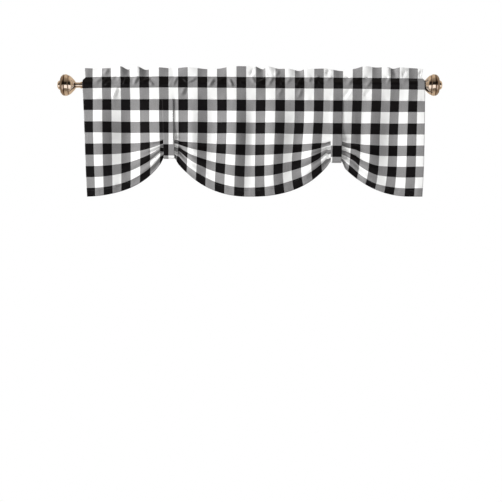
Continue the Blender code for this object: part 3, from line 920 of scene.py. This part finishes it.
def rounded(outline):
    """An outline's points in metres with its round stretches drawn as flowing curves."""
    points = []
    for number, (row, after) in enumerate(zip(outline, outline[1:])):
        before = outline[number - 1] if number and not row.corner else row
        beyond = outline[number + 2] if number + 2 < len(outline) and not after.corner else after
        straight = row.corner and after.corner
        steps = 1 if straight else CURVE_STEPS
        for step in range(steps):
            t = step / steps
            values = []
            for a, b, c, d in zip(before, row, after, beyond):
                bend = (2 * a - 5 * b + 4 * c - d) * t * t + (3 * b - 3 * c + d - a) * t**3
                values.append(0.5 * (2 * b + (c - a) * t + bend))
            if straight:
                values = list(row)
            points.append((values[0] * MM, max(values[1], 0.0) * MM, values[3]))
    points.append((outline[-1].along * MM, outline[-1].radius * MM, outline[-1].dark))
    return points


def turned_piece(name, outline, tip, way):
    """Draws an outline point by point from its outer end and spins it round the rod's axis."""
    points = rounded(outline)
    bpy.ops.object.select_all(action="DESELECT")
    bpy.ops.mesh.primitive_plane_add(size=MM, location=(tip, 0.0, 0.0))
    piece = bpy.context.object
    piece.name = piece.data.name = name
    bpy.ops.object.mode_set(mode="EDIT")
    bpy.ops.mesh.select_all(action="SELECT")
    bpy.ops.mesh.merge(type="CENTER")
    for before, after in zip(points, points[1:]):
        step = (way * (after[0] - before[0]), 0.0, after[1] - before[1])
        bpy.ops.mesh.extrude_region_move(TRANSFORM_OT_translate={"value": step})
    bpy.ops.mesh.select_all(action="SELECT")
    sides = bpy.context.scene.valance_sizes.turned_sides
    bpy.ops.mesh.spin(steps=sides, angle=2 * math.pi, center=(0, 0, 0), axis=(1, 0, 0))
    bpy.ops.mesh.select_all(action="SELECT")
    bpy.ops.mesh.remove_doubles(threshold=MERGE_DISTANCE)
    bpy.ops.mesh.normals_make_consistent(inside=False)
    bpy.ops.object.mode_set(mode="OBJECT")
    bpy.ops.object.transform_apply(location=True, rotation=True, scale=True)
    bpy.ops.object.shade_smooth_by_angle(angle=CORNER_ANGLE)
    mark_painted_shade(piece, points, tip, way)
    return piece


def mark_painted_shade(piece, points, tip, way):
    """Stores the painted shade and painted reflection, as an attribute read along the outline."""
    drawn = np.array(points)
    layer = piece.data.attributes.new(PAINTED_SHADE, "FLOAT", "POINT")
    values = []
    for vertex in piece.data.vertices:
        along = way * (vertex.co.x - tip)
        radius = math.hypot(vertex.co.y, vertex.co.z)
        near = np.hypot(drawn[:, 0] - along, drawn[:, 1] - radius).argmin()
        values.append(max(drawn[near, 2], 0.0))
    layer.data.foreach_set("value", values)


def stitch_mesh(name, runs, radius):
    """One mesh of many stitches. Each is a short thread with pointed ends, from a run of pairs."""
    bpy.ops.object.select_all(action="DESELECT")
    bpy.ops.mesh.primitive_uv_sphere_add(segments=6, ring_count=4, radius=1.0)
    shape = bpy.context.object
    corners = np.array([vertex.co for vertex in shape.data.vertices])
    sides = [list(face.vertices) for face in shape.data.polygons]
    bpy.data.objects.remove(shape)
    vertices, faces = [], []
    for start, end in runs:
        start, end = Vector(start), Vector(end)
        turn = (end - start).to_track_quat("Z", "Y").to_matrix()
        size = Matrix.Diagonal((radius, radius, (end - start).length / 2))
        place = np.array(turn @ size)
        middle = np.array((start + end) / 2)
        base = len(vertices)
        vertices += (corners @ place.T + middle).tolist()
        faces += [[base + corner for corner in face] for face in sides]
    mesh = bpy.data.meshes.new(name)
    mesh.from_pydata(vertices, [], faces)
    mesh.shade_smooth()
    piece = bpy.data.objects.new(name, mesh)
    bpy.context.scene.collection.objects.link(piece)
    return piece


def lengths_along(points):
    """How far along a line each of its points lies."""
    return np.concatenate([[0], np.cumsum(np.linalg.norm(np.diff(points, axis=0), axis=1))])


def place_along(points, along, distance):
    """The place at this distance along a line."""
    return [float(np.interp(distance, along, points[:, axis])) for axis in range(3)]


def even_stitches(points, pitch):
    """Pairs of points a stitch apart along a line, with the small gap where each dips under."""
    points = np.array(points)
    along = lengths_along(points)
    pairs = []
    for start in np.arange(pitch, along[-1] - 2 * pitch, pitch):
        end = start + STITCH_SHARE * pitch
        pairs.append((place_along(points, along, start), place_along(points, along, end)))
    return pairs


def seam_lines(thickness):
    """The lines of stitching on the panel, front and back, as rows of points on its faces."""
    gap = (thickness + LAYER_GAP) / 2
    face = gap + thickness / 2
    lines = {"heading": [], "heading_back": [], "pocket": [], "pocket_back": [], "hem": []}
    lines["hem_back"] = []
    for hem_x in panel_places():
        line = WarpLine(hem_x)
        seam = -HEADING_SEAM - line.sag(HEADING_SEAM)
        x = line.across(HEADING_SEAM)
        y = -line.ruffle * FOLD_AT_SEAM - crease_forward(x, seam) - pucker(line.start, 0.0)
        lines["heading"].append((x, y - face, seam))
        lines["heading_back"].append((x, y + face, seam))
        foot = -POCKET_SEAM - line.sag(POCKET_SEAM)
        x = line.across(POCKET_SEAM)
        y = -line.fold * FOLD_AT_SEAM - crease_forward(x, foot) - pucker(line.start, 0.0)
        lines["pocket"].append((x, y - face, foot))
        lines["pocket_back"].append((x, y + face, foot))
        drop = HEM - HEM_STITCH_RISE / max(line.shortening, LEAST_SHORTENING)
        height = -line.hung(drop) - line.sag(drop)
        y = -line.skirt_forward(drop)
        lines["hem"].append((line.across(drop), y - thickness / 2, height))
        hem_back = y + 1.5 * thickness
        lines["hem_back"].append((line.across(drop), hem_back, height))
    return lines


def overlock_shade_runs(strap):
    """Slanting stitches of dark thread, side by side, over one long edge of a strap, which also paint
    the shade line along that edge.
    """
    run = []
    for step in range(OVERLOCK_STEPS):
        edge, _ = strap_point(strap, FRONT_RUN * step / OVERLOCK_STEPS, RIGHT_EDGE)
        if edge[2] > -OVERLOCK_END_DROP:
            run.append(edge)
    points = np.array(run)
    along = lengths_along(points)
    runs = []
    out = strap_thickness() * OVERLOCK_OUT
    for distance in np.arange(OVERLOCK_PITCH, along[-1] - OVERLOCK_PITCH, OVERLOCK_PITCH):
        x, y, z = place_along(points, along, distance)
        inner = (x - OVERLOCK_REACH, y - out, z + OVERLOCK_PITCH)
        runs.append((inner, (x + STITCH_RADIUS, y - out, z - OVERLOCK_PITCH)))
    return runs


def fill(tree, node, inputs):
    """Fills a node's inputs, by number or by name, from nodes, sockets and values."""
    named = inputs.items() if isinstance(inputs, dict) else enumerate(inputs)
    for socket, given in named:
        if isinstance(given, bpy.types.Node):
            given = given.outputs[0]
        if isinstance(given, bpy.types.NodeSocket):
            tree.links.new(given, node.inputs[socket])
        else:
            node.inputs[socket].default_value = given


def add_node(tree, kind, inputs=(), **settings):
    """Adds a node with its settings, and fills its inputs."""
    node = tree.nodes.new(kind)
    for name, value in settings.items():
        setattr(node, name, value)
    fill(tree, node, inputs)
    return node


def new_material(name):
    """An empty material with its Principled shader."""
    material = bpy.data.materials.new(name)
    material.use_nodes = True
    tree = material.node_tree
    return tree, tree.nodes["Principled BSDF"]


def colour_of(value):
    """A colour property as the four numbers of a socket."""
    return (*value, 1.0)


def checked_cotton():
    """Yarn-dyed cotton check in plain weave: matt, with a little lustre on the thread crowns.

    The real threads are about 0.4 mm apart. They are drawn three times as coarse, so that a
    close view shows them.
    """
    colours = bpy.context.scene.valance_colours
    tree, shader = new_material(COTTON)
    flat = add_node(tree, "ShaderNodeUVMap", uv_map=CLOTH_MAP)
    apart = add_node(tree, "ShaderNodeSeparateXYZ", [flat])
    fray = add_node(
        tree, "ShaderNodeTexNoise", {"Vector": flat, "Scale": 1 / FRAY_SIZE, "Detail": FINE_DETAIL}
    )
    wander = add_node(
        tree, "ShaderNodeMath", [fray, FRAY_REACH, -FRAY_REACH / 2], operation="MULTIPLY_ADD"
    )
    dark, counts, crowns = [], [], []
    for yarn in apart.outputs[:2]:
        frayed = add_node(tree, "ShaderNodeMath", [yarn, wander], operation="ADD")
        pairs = add_node(tree, "ShaderNodeMath", [frayed, 2 * CHECK], operation="DIVIDE")
        part = add_node(tree, "ShaderNodeMath", [pairs], operation="FRACT")
        dark.append(add_node(tree, "ShaderNodeMath", [part, 0.5], operation="LESS_THAN"))
        threads = add_node(tree, "ShaderNodeMath", [yarn, DRAWN_THREAD], operation="DIVIDE")
        counts.append(add_node(tree, "ShaderNodeMath", [threads], operation="FLOOR"))
        part = add_node(tree, "ShaderNodeMath", [threads], operation="FRACT")
        arch = add_node(tree, "ShaderNodeMath", [part, math.pi], operation="MULTIPLY")
        crowns.append(add_node(tree, "ShaderNodeMath", [arch], operation="SINE"))
    warp_crown, weft_crown = crowns
    count = add_node(tree, "ShaderNodeMath", counts, operation="ADD")
    pairs = add_node(tree, "ShaderNodeMath", [count, 2.0], operation="DIVIDE")
    parity = add_node(tree, "ShaderNodeMath", [pairs], operation="FRACT")
    warp_over = add_node(tree, "ShaderNodeMath", [parity, 0.25], operation="LESS_THAN")
    weft_over = add_node(tree, "ShaderNodeMath", [1.0, warp_over], operation="SUBTRACT")
    seen = [
        add_node(tree, "ShaderNodeMath", [over, yarn], operation="MULTIPLY")
        for over, yarn in zip((warp_over, weft_over), dark)
    ]
    seen_dark = add_node(tree, "ShaderNodeMath", seen, operation="ADD")
    stretched = add_node(
        tree, "ShaderNodeMapping", {"Vector": flat, "Scale": (1 / SLUB_WIDTH, 1 / SLUB_LENGTH, 1.0)}
    )
    slub = add_node(
        tree, "ShaderNodeTexNoise", {"Vector": stretched, "Scale": 1.0, "Detail": FINE_DETAIL}
    )
    shares = [
        add_node(tree, "ShaderNodeMath", [what, much, -much / 2], operation="MULTIPLY_ADD")
        for what, much in ((seen_dark, THREAD_CONTRAST), (slub, SLUB_CONTRAST))
    ]
    share = add_node(tree, "ShaderNodeMath", shares, operation="ADD")
    share = add_node(tree, "ShaderNodeMath", [share, 0.5], operation="ADD")
    mixed = add_node(
        tree,
        "ShaderNodeMix",
        {0: share, COLOUR_A: colour_of(colours.mixed_light), COLOUR_B: colour_of(colours.mixed_dark)},
        data_type="RGBA",
    )
    either = add_node(tree, "ShaderNodeMath", dark, operation="MAXIMUM")
    light = add_node(
        tree,
        "ShaderNodeMix",
        {0: either, COLOUR_A: colour_of(colours.light_yarn), COLOUR_B: mixed.outputs[COLOUR_OUT]},
        data_type="RGBA",
    )
    both = add_node(tree, "ShaderNodeMath", dark, operation="MINIMUM")
    check = add_node(
        tree,
        "ShaderNodeMix",
        {0: both, COLOUR_A: light.outputs[COLOUR_OUT], COLOUR_B: colour_of(colours.dark_yarn)},
        data_type="RGBA",
    )
    crown = add_node(
        tree,
        "ShaderNodeMix",
        {0: warp_over, NUMBER_A: weft_crown, NUMBER_B: warp_crown},
        data_type="FLOAT",
    )
    relief = add_node(tree, "ShaderNodeMath", [crown, slub], operation="ADD")
    bump = add_node(
        tree,
        "ShaderNodeBump",
        {"Height": relief, "Strength": WEAVE_STRENGTH, "Distance": WEAVE_DEPTH},
    )
    rough = add_node(
        tree, "ShaderNodeMath", [crown, -CROWN_LUSTRE, COTTON_ROUGHNESS], operation="MULTIPLY_ADD"
    )
    looks = {
        "Base Color": check.outputs[COLOUR_OUT],
        "Normal": bump,
        "Roughness": rough,
        "Specular IOR Level": COTTON_SPECULAR,
        "Sheen Weight": COTTON_SHEEN,
        "Sheen Roughness": COTTON_SHEEN_ROUGHNESS,
    }
    fill(tree, shader, looks)


def sewing_thread():
    """Spun polyester thread: a fine twist with a slight shine."""
    colours = bpy.context.scene.valance_colours
    tree, shader = new_material(THREAD)
    place = add_node(tree, "ShaderNodeTexCoord")
    waves = {"Scale": 1 / TWIST_PITCH, "Distortion": TWIST_UNEVEN, "Detail": TWIST_DETAIL}
    twist = add_node(
        tree,
        "ShaderNodeTexWave",
        {"Vector": place.outputs["Object"], **waves},
        bands_direction="DIAGONAL",
    )
    height = twist.outputs["Fac"]
    # Painted shade: the twist's hollows are darker than its crowns.
    hollow_shade = colour_of([part * TWIST_SHADE for part in colours.thread])
    tone = add_node(
        tree,
        "ShaderNodeMix",
        {0: height, COLOUR_A: hollow_shade, COLOUR_B: colour_of(colours.thread)},
        data_type="RGBA",
    )
    bump = add_node(
        tree,
        "ShaderNodeBump",
        {"Height": height, "Strength": TWIST_STRENGTH, "Distance": TWIST_DEPTH},
    )
    looks = {
        "Base Color": tone.outputs[COLOUR_OUT],
        "Normal": bump,
        "Roughness": THREAD_ROUGHNESS,
    }
    fill(tree, shader, looks)


def polished_bronze():
    """Cast zinc plated in champagne bronze and polished: bright, warm, and darker in the grooves.

    Painted shade darkens the grooves and hollows and painted reflection darkens the bulb, and
    faint buffing marks run round the turned form.
    """
    colours = bpy.context.scene.valance_colours
    tree, shader = new_material(BRONZE)
    place = add_node(tree, "ShaderNodeTexCoord").outputs["Object"]
    antique = add_node(tree, "ShaderNodeAttribute", attribute_name=PAINTED_SHADE).outputs["Fac"]
    cloud = add_node(
        tree, "ShaderNodeTexNoise", {"Vector": place, "Scale": 1 / CLOUD_SIZE, "Detail": CLOUD_DETAIL}
    )
    stretch = (1 / BUFFING_WIDTH, 1 / BUFFING_LENGTH, 1 / BUFFING_LENGTH)
    stretched = add_node(tree, "ShaderNodeMapping", {"Vector": place, "Scale": stretch})
    marks = add_node(
        tree, "ShaderNodeTexNoise", {"Vector": stretched, "Scale": 1.0, "Detail": FINE_DETAIL}
    )
    uneven = add_node(
        tree, "ShaderNodeMath", [cloud, CLOUD_CONTRAST, CLOUD_START], operation="MULTIPLY_ADD"
    )
    # Painted shade: the attribute darkens the plating as painted reflection on the bulb and painted
    # shade in the grooves, over a random cloudy tone.
    shade = add_node(tree, "ShaderNodeMath", [antique, uneven], operation="ADD")
    shade = add_node(tree, "ShaderNodeMath", [shade, 1.0], operation="MINIMUM")
    shade = add_node(tree, "ShaderNodeMath", [shade, 0.0], operation="MAXIMUM")
    tone = add_node(
        tree,
        "ShaderNodeMix",
        {0: shade, COLOUR_A: colour_of(colours.bronze), COLOUR_B: colour_of(colours.bronze_dark)},
        data_type="RGBA",
    )
    rough = add_node(
        tree, "ShaderNodeMath", [marks, BUFFING_ROUGHNESS, POLISH_ROUGHNESS], operation="MULTIPLY_ADD"
    )
    dulled = add_node(tree, "ShaderNodeMath", [antique, GROOVE_ROUGHNESS], operation="MULTIPLY")
    rough = add_node(tree, "ShaderNodeMath", [rough, dulled], operation="ADD")
    bump = add_node(
        tree,
        "ShaderNodeBump",
        {"Height": marks, "Strength": BUFFING_STRENGTH, "Distance": BUFFING_DEPTH},
    )
    looks = {
        "Base Color": tone.outputs[COLOUR_OUT],
        "Roughness": rough,
        "Normal": bump,
        "Metallic": 1.0,
    }
    fill(tree, shader, looks)


def painted_tube():
    """Steel tube in satin bronze paint, with the fine lines of its drawing showing through."""
    colours = bpy.context.scene.valance_colours
    tree, shader = new_material(TUBE)
    place = add_node(tree, "ShaderNodeTexCoord").outputs["Object"]
    stretch = (1 / DRAWN_LINE_LENGTH, 1 / DRAWN_LINE_WIDTH, 1 / DRAWN_LINE_WIDTH)
    stretched = add_node(tree, "ShaderNodeMapping", {"Vector": place, "Scale": stretch})
    lines = add_node(
        tree, "ShaderNodeTexNoise", {"Vector": stretched, "Scale": 1.0, "Detail": FINE_DETAIL}
    )
    tone = add_node(
        tree,
        "ShaderNodeMix",
        {0: lines, COLOUR_A: colour_of(colours.bronze_dark), COLOUR_B: colour_of(colours.bronze)},
        data_type="RGBA",
    )
    rough = add_node(
        tree, "ShaderNodeMath", [lines, LINE_ROUGHNESS, PAINT_ROUGHNESS], operation="MULTIPLY_ADD"
    )
    looks = {
        "Base Color": tone.outputs[COLOUR_OUT],
        "Roughness": rough,
        "Metallic": PAINT_METALLIC,
    }
    fill(tree, shader, looks)


def pale_floor():
    """Sealed white floor with a faint cloudiness."""
    colours = bpy.context.scene.valance_colours
    tree, shader = new_material(FLOOR)
    place = add_node(tree, "ShaderNodeTexCoord").outputs["Object"]
    cloud = add_node(
        tree,
        "ShaderNodeTexNoise",
        {"Vector": place, "Scale": FLOOR_CLOUD_SCALE, "Detail": CLOUD_DETAIL},
    )
    shaded = colour_of([part * FLOOR_SHADE for part in colours.floor])
    tone = add_node(
        tree,
        "ShaderNodeMix",
        {0: cloud, COLOUR_A: shaded, COLOUR_B: colour_of(colours.floor)},
        data_type="RGBA",
    )
    looks = {"Base Color": tone.outputs[COLOUR_OUT], "Roughness": FLOOR_ROUGHNESS}
    fill(tree, shader, looks)


class ValanceSizes(bpy.types.PropertyGroup):
    """Sizes of the dressed valance."""

    cloth_thickness: FloatProperty(
        name="Cloth thickness",
        description="Thickness of the panel and of the straps",
        default=1.0 * MM,
        min=0.4 * MM,
        max=1.5 * MM,
        unit="LENGTH",
    )
    stitch_pitch: FloatProperty(
        name="Stitch pitch",
        description="Distance from one stitch of a seam to the next",
        default=STITCH_PITCH,
        min=2.0 * MM,
        unit="LENGTH",
    )
    turned_sides: IntProperty(
        name="Turned sides",
        description="Faces round each finial and collar",
        default=96,
        min=24,
    )


def colour_property(name, code, description):
    """A colour that a user may change, from its sRGB hex value."""
    return FloatVectorProperty(
        name=name, description=description, default=linear(code), subtype="COLOR"
    )


class ValanceColours(bpy.types.PropertyGroup):
    """Colours of the dressed valance, as linear values."""

    dark_yarn: colour_property(
        "Dark check", "060405", "Checks where dark warp crosses dark weft"
    )
    light_yarn: colour_property(
        "Light check", "f5f5f4", "Checks where light warp crosses light weft"
    )
    mixed_light: colour_property(
        "Mixed check, light thread", "a2a1a1", "Light threads where dark crosses light"
    )
    mixed_dark: colour_property(
        "Mixed check, dark thread", "686768", "Dark threads where dark crosses light"
    )
    # This dark grey is also the painted shade of the left strap's overlocked edge.
    thread: colour_property(
        "Sewing thread", "4a4a4c", "Thread of the seams and of the overlocked edge"
    )
    bronze: colour_property("Bronze", "dccbbb", "Plating of the finials and collars")
    # On the finials and collars this colour is painted shade and painted reflection, on the bulb and
    # in the grooves; on the tube it is the drawn lines' own tone.
    bronze_dark: colour_property(
        "Bronze in the grooves", "573c27", "Plating that the buffing wheel can't reach"
    )
    floor: colour_property("Floor", "f6f6f5", "The studio's floor")


class VALANCE_OT_panel(bpy.types.Operator):
    """Drape the checked cloth panel: hem, swags, pocket and ruffled heading in one sheet"""

    bl_idname = "valance.panel"
    bl_label = "Cloth panel"

    def execute(self, context):
        thickness = context.scene.valance_sizes.cloth_thickness
        columns = [panel_column(WarpLine(hem_x), thickness) for hem_x in panel_places()]
        grid = np.array(columns)
        places = grid[:, :, :3]
        starts = np.array([check_columns(WarpLine(hem_x).start) for hem_x in panel_places()])
        flats = np.stack([np.repeat(starts[:, None], grid.shape[1], 1), grid[:, :, 3]], axis=2)
        extra = grid[:, :, 4] * thickness
        edge = np.minimum(starts - starts[0], starts[-1] - starts)
        front_rows = SKIRT_LOW_ROWS + SKIRT_HIGH_ROWS
        side = (edge < SIDE_HEM)[:, None] * (np.arange(grid.shape[1]) < front_rows)[None, :]
        extra = np.maximum(extra, side * thickness)
        cloth = sheet_object("checked_panel", places, flats, thickness, extra)
        cloth.data.materials.append(bpy.data.materials[COTTON])
        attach(cloth, BODY)
        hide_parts("valance_panel")
        return {"FINISHED"}


class VALANCE_OT_straps(bpy.types.Operator):
    """Hang the two tie-up straps, from the pocket seam down, under the hem and up behind"""

    bl_idname = "valance.straps"
    bl_label = "Tie-up straps"

    def execute(self, context):
        steps = 2 * STRAP_RUN_STEPS + STRAP_TURN_STEPS
        thickness = strap_thickness()
        for strap in STRAPS:
            places, flats = [], []
            for across in range(STRAP_ACROSS + 1):
                sideways = across / STRAP_ACROSS - 0.5
                rows = [strap_point(strap, 1.0 - step / steps, sideways) for step in range(steps + 1)]
                places.append([row[0] for row in rows])
                flats.append([row[1] for row in rows])
            places, flats = np.array(places), np.array(flats)
            extra = np.zeros(places.shape[:2])
            band = sheet_object(f"tie_{strap.name}", places, flats, thickness, extra)
            band.data.materials.append(bpy.data.materials[COTTON])
            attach(band, BODY)
            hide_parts(strap.name)
        return {"FINISHED"}


class VALANCE_OT_stitching(bpy.types.Operator):
    """Sew the seams and the hem, and overlock the left strap's right edge in dark thread that also
    paints the shade line there
    """

    bl_idname = "valance.stitching"
    bl_label = "Stitching"

    def execute(self, context):
        sizes = context.scene.valance_sizes
        runs = []
        for points in seam_lines(sizes.cloth_thickness).values():
            runs += even_stitches(points, sizes.stitch_pitch)
        seams = stitch_mesh("seam_stitches", runs, STITCH_RADIUS)
        # The overlock is dark thread that also paints the shade line along the left strap's right
        # edge.
        edge = stitch_mesh("strap_overlock", overlock_shade_runs(STRAPS[0]), OVERLOCK_RADIUS)
        for piece in (seams, edge):
            piece.data.materials.append(bpy.data.materials[THREAD])
            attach(piece, BODY)
        return {"FINISHED"}


class VALANCE_OT_rod(bpy.types.Operator):
    """Give the rod in the pocket its satin bronze finish"""

    bl_idname = "valance.rod"
    bl_label = "Rod"

    def execute(self, context):
        rod = frame["nodes"]["rod"]
        rod.data.materials.clear()
        rod.data.materials.append(bpy.data.materials[TUBE])
        return {"FINISHED"}


class VALANCE_OT_finials(bpy.types.Operator):
    """Turn the finial and the collar at each end of the rod"""

    bl_idname = "valance.finials"
    bl_label = "Finials and collars"

    def execute(self, context):
        for side, way in (("left", 1), ("right", -1)):
            ends = {
                "finial": (FINIAL_OUTLINE, f"finial_{side}"),
                "collar": (COLLAR_OUTLINE, f"collar_{side}"),
            }
            for kind, (outline, node) in ends.items():
                low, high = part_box(node)
                outer = low.x if way > 0 else high.x
                piece = turned_piece(f"turned_{kind}_{side}", outline, outer, way)
                piece.data.materials.append(bpy.data.materials[BRONZE])
                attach(piece, BODY)
                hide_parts(node)
        return {"FINISHED"}


class VALANCE_OT_finishes(bpy.types.Operator):
    """Mix the finishes: cotton check, thread, bronze, satin tube and floor"""

    bl_idname = "valance.finishes"
    bl_label = "Finishes"

    def execute(self, context):
        checked_cotton()
        sewing_thread()
        polished_bronze()
        painted_tube()
        pale_floor()
        return {"FINISHED"}


class VALANCE_OT_stage(bpy.types.Operator):
    """Set up the plain studio: pale floor, soft light, and the camera at the photo's angle"""

    bl_idname = "valance.stage"
    bl_label = "Studio"

    def execute(self, context):
        bpy.ops.object.select_all(action="DESELECT")
        bpy.ops.mesh.primitive_plane_add(size=FLOOR_SIZE, location=(0.0, 0.0, FLOOR_HEIGHT))
        floor = bpy.context.object
        floor.name = "studio_floor"
        floor.data.materials.append(bpy.data.materials[FLOOR])
        floor.visible_glossy = False
        self.light_world(context.scene)
        self.gather_pieces()
        self.add_lamps()
        bpy.ops.object.camera_add(
            location=(VIEW_X, VIEW_PLANE_Y - VIEW_DISTANCE, VIEW_HEIGHT),
            rotation=(math.pi / 2, 0.0, 0.0),
        )
        camera = bpy.context.object
        frame_width = PHOTO_PIXELS * PIXEL
        camera.data.lens = camera.data.sensor_width * VIEW_DISTANCE / frame_width
        context.scene.camera = camera
        context.scene.view_settings.view_transform = "Standard"
        return {"FINISHED"}

    def light_world(self, scene):
        """A white room. Polished metal meets its bright lower part and a dark strip above that."""
        world = bpy.data.worlds.new("studio")
        scene.world = world
        world.use_nodes = True
        tree = world.node_tree
        place = add_node(tree, "ShaderNodeTexCoord")
        apart = add_node(tree, "ShaderNodeSeparateXYZ", [place.outputs["Generated"]])
        height = add_node(
            tree, "ShaderNodeMath", [apart.outputs[2], 0.5, 0.5], operation="MULTIPLY_ADD"
        )
        ramp = add_node(tree, "ShaderNodeValToRGB", [height])
        while len(ramp.color_ramp.elements) < len(ROOM_BANDS):
            ramp.color_ramp.elements.new(0.5)
        for element, (position, shade, warm) in zip(ramp.color_ramp.elements, ROOM_BANDS):
            element.position = position
            element.color = colour_of([shade * part if warm else shade for part in WARMTH])
        behind = add_node(
            tree, "ShaderNodeMapRange", [apart.outputs[1], BEHIND_START, BEHIND_END]
        )
        even = colour_of([ROOM_BEHIND * part for part in WARMTH])
        mirrored = add_node(
            tree, "ShaderNodeMix", {0: behind, COLOUR_A: ramp, COLOUR_B: even}, data_type="RGBA"
        )
        metal = add_node(tree, "ShaderNodeBackground", [mirrored.outputs[COLOUR_OUT]])
        room = tree.nodes["Background"]
        fill(tree, room, {"Color": colour_of([ROOM_LIGHT] * 3)})
        seen = add_node(tree, "ShaderNodeBackground", {"Color": colour_of([1.0] * 3)})
        path = add_node(tree, "ShaderNodeLightPath")
        shining = add_node(
            tree, "ShaderNodeMixShader", [path.outputs["Is Glossy Ray"], room, metal]
        )
        mix = add_node(
            tree, "ShaderNodeMixShader", [path.outputs["Is Camera Ray"], shining, seen]
        )
        fill(tree, tree.nodes["World Output"], {"Surface": mix})

    def add_lamps(self):
        """A key light far off on the left, which grazes the folds, and a low wide fill."""
        for name, place, width, height, power in LAMPS:
            bpy.ops.object.light_add(type="AREA", location=place)
            lamp = bpy.context.object
            lamp.name = name
            lamp.data.shape = "RECTANGLE"
            lamp.data.size, lamp.data.size_y = width, height
            lamp.data.energy = power
            lamp.visible_camera = False
            aim = Vector(LAMP_AIM) - Vector(place)
            lamp.rotation_euler = aim.to_track_quat("-Z", "Y").to_euler()
            lamp.light_linking.receiver_collection = self.lamp_lit

    def gather_pieces(self):
        """The lamps light all but the polished metal, which only mirrors the room."""
        self.lamp_lit = bpy.data.collections.new("lamp lit")
        for obj in bpy.data.objects:
            if obj.type == "MESH" and not obj.name.startswith("turned"):
                self.lamp_lit.objects.link(obj)


class VALANCE_PT_sidebar(bpy.types.Panel):
    """Lists the steps in the order in which they are made"""

    bl_idname = "VALANCE_PT_sidebar"
    bl_label = "Checked valance"
    bl_space_type = "VIEW_3D"
    bl_region_type = "UI"
    bl_category = "Valance"

    def draw(self, context):
        for group in (context.scene.valance_sizes, context.scene.valance_colours):
            for name in group.__annotations__:
                self.layout.prop(group, name)
        for operator in OPERATORS:
            self.layout.operator(operator.bl_idname)


OPERATORS = [
    VALANCE_OT_finishes,
    VALANCE_OT_rod,
    VALANCE_OT_finials,
    VALANCE_OT_panel,
    VALANCE_OT_straps,
    VALANCE_OT_stitching,
    VALANCE_OT_stage,
]
CLASSES = [ValanceSizes, ValanceColours, *OPERATORS, VALANCE_PT_sidebar]


def register():
    for item in CLASSES:
        bpy.utils.register_class(item)
    bpy.types.Scene.valance_sizes = PointerProperty(type=ValanceSizes)
    bpy.types.Scene.valance_colours = PointerProperty(type=ValanceColours)


def unregister():
    del bpy.types.Scene.valance_colours
    del bpy.types.Scene.valance_sizes
    for item in reversed(CLASSES):
        bpy.utils.unregister_class(item)


def main():
    register()
    bpy.ops.valance.finishes()
    bpy.ops.valance.rod()
    bpy.ops.valance.finials()
    bpy.ops.valance.panel()
    bpy.ops.valance.straps()
    bpy.ops.valance.stitching()
    bpy.ops.valance.stage()


if __name__ == "__main__":
    main()
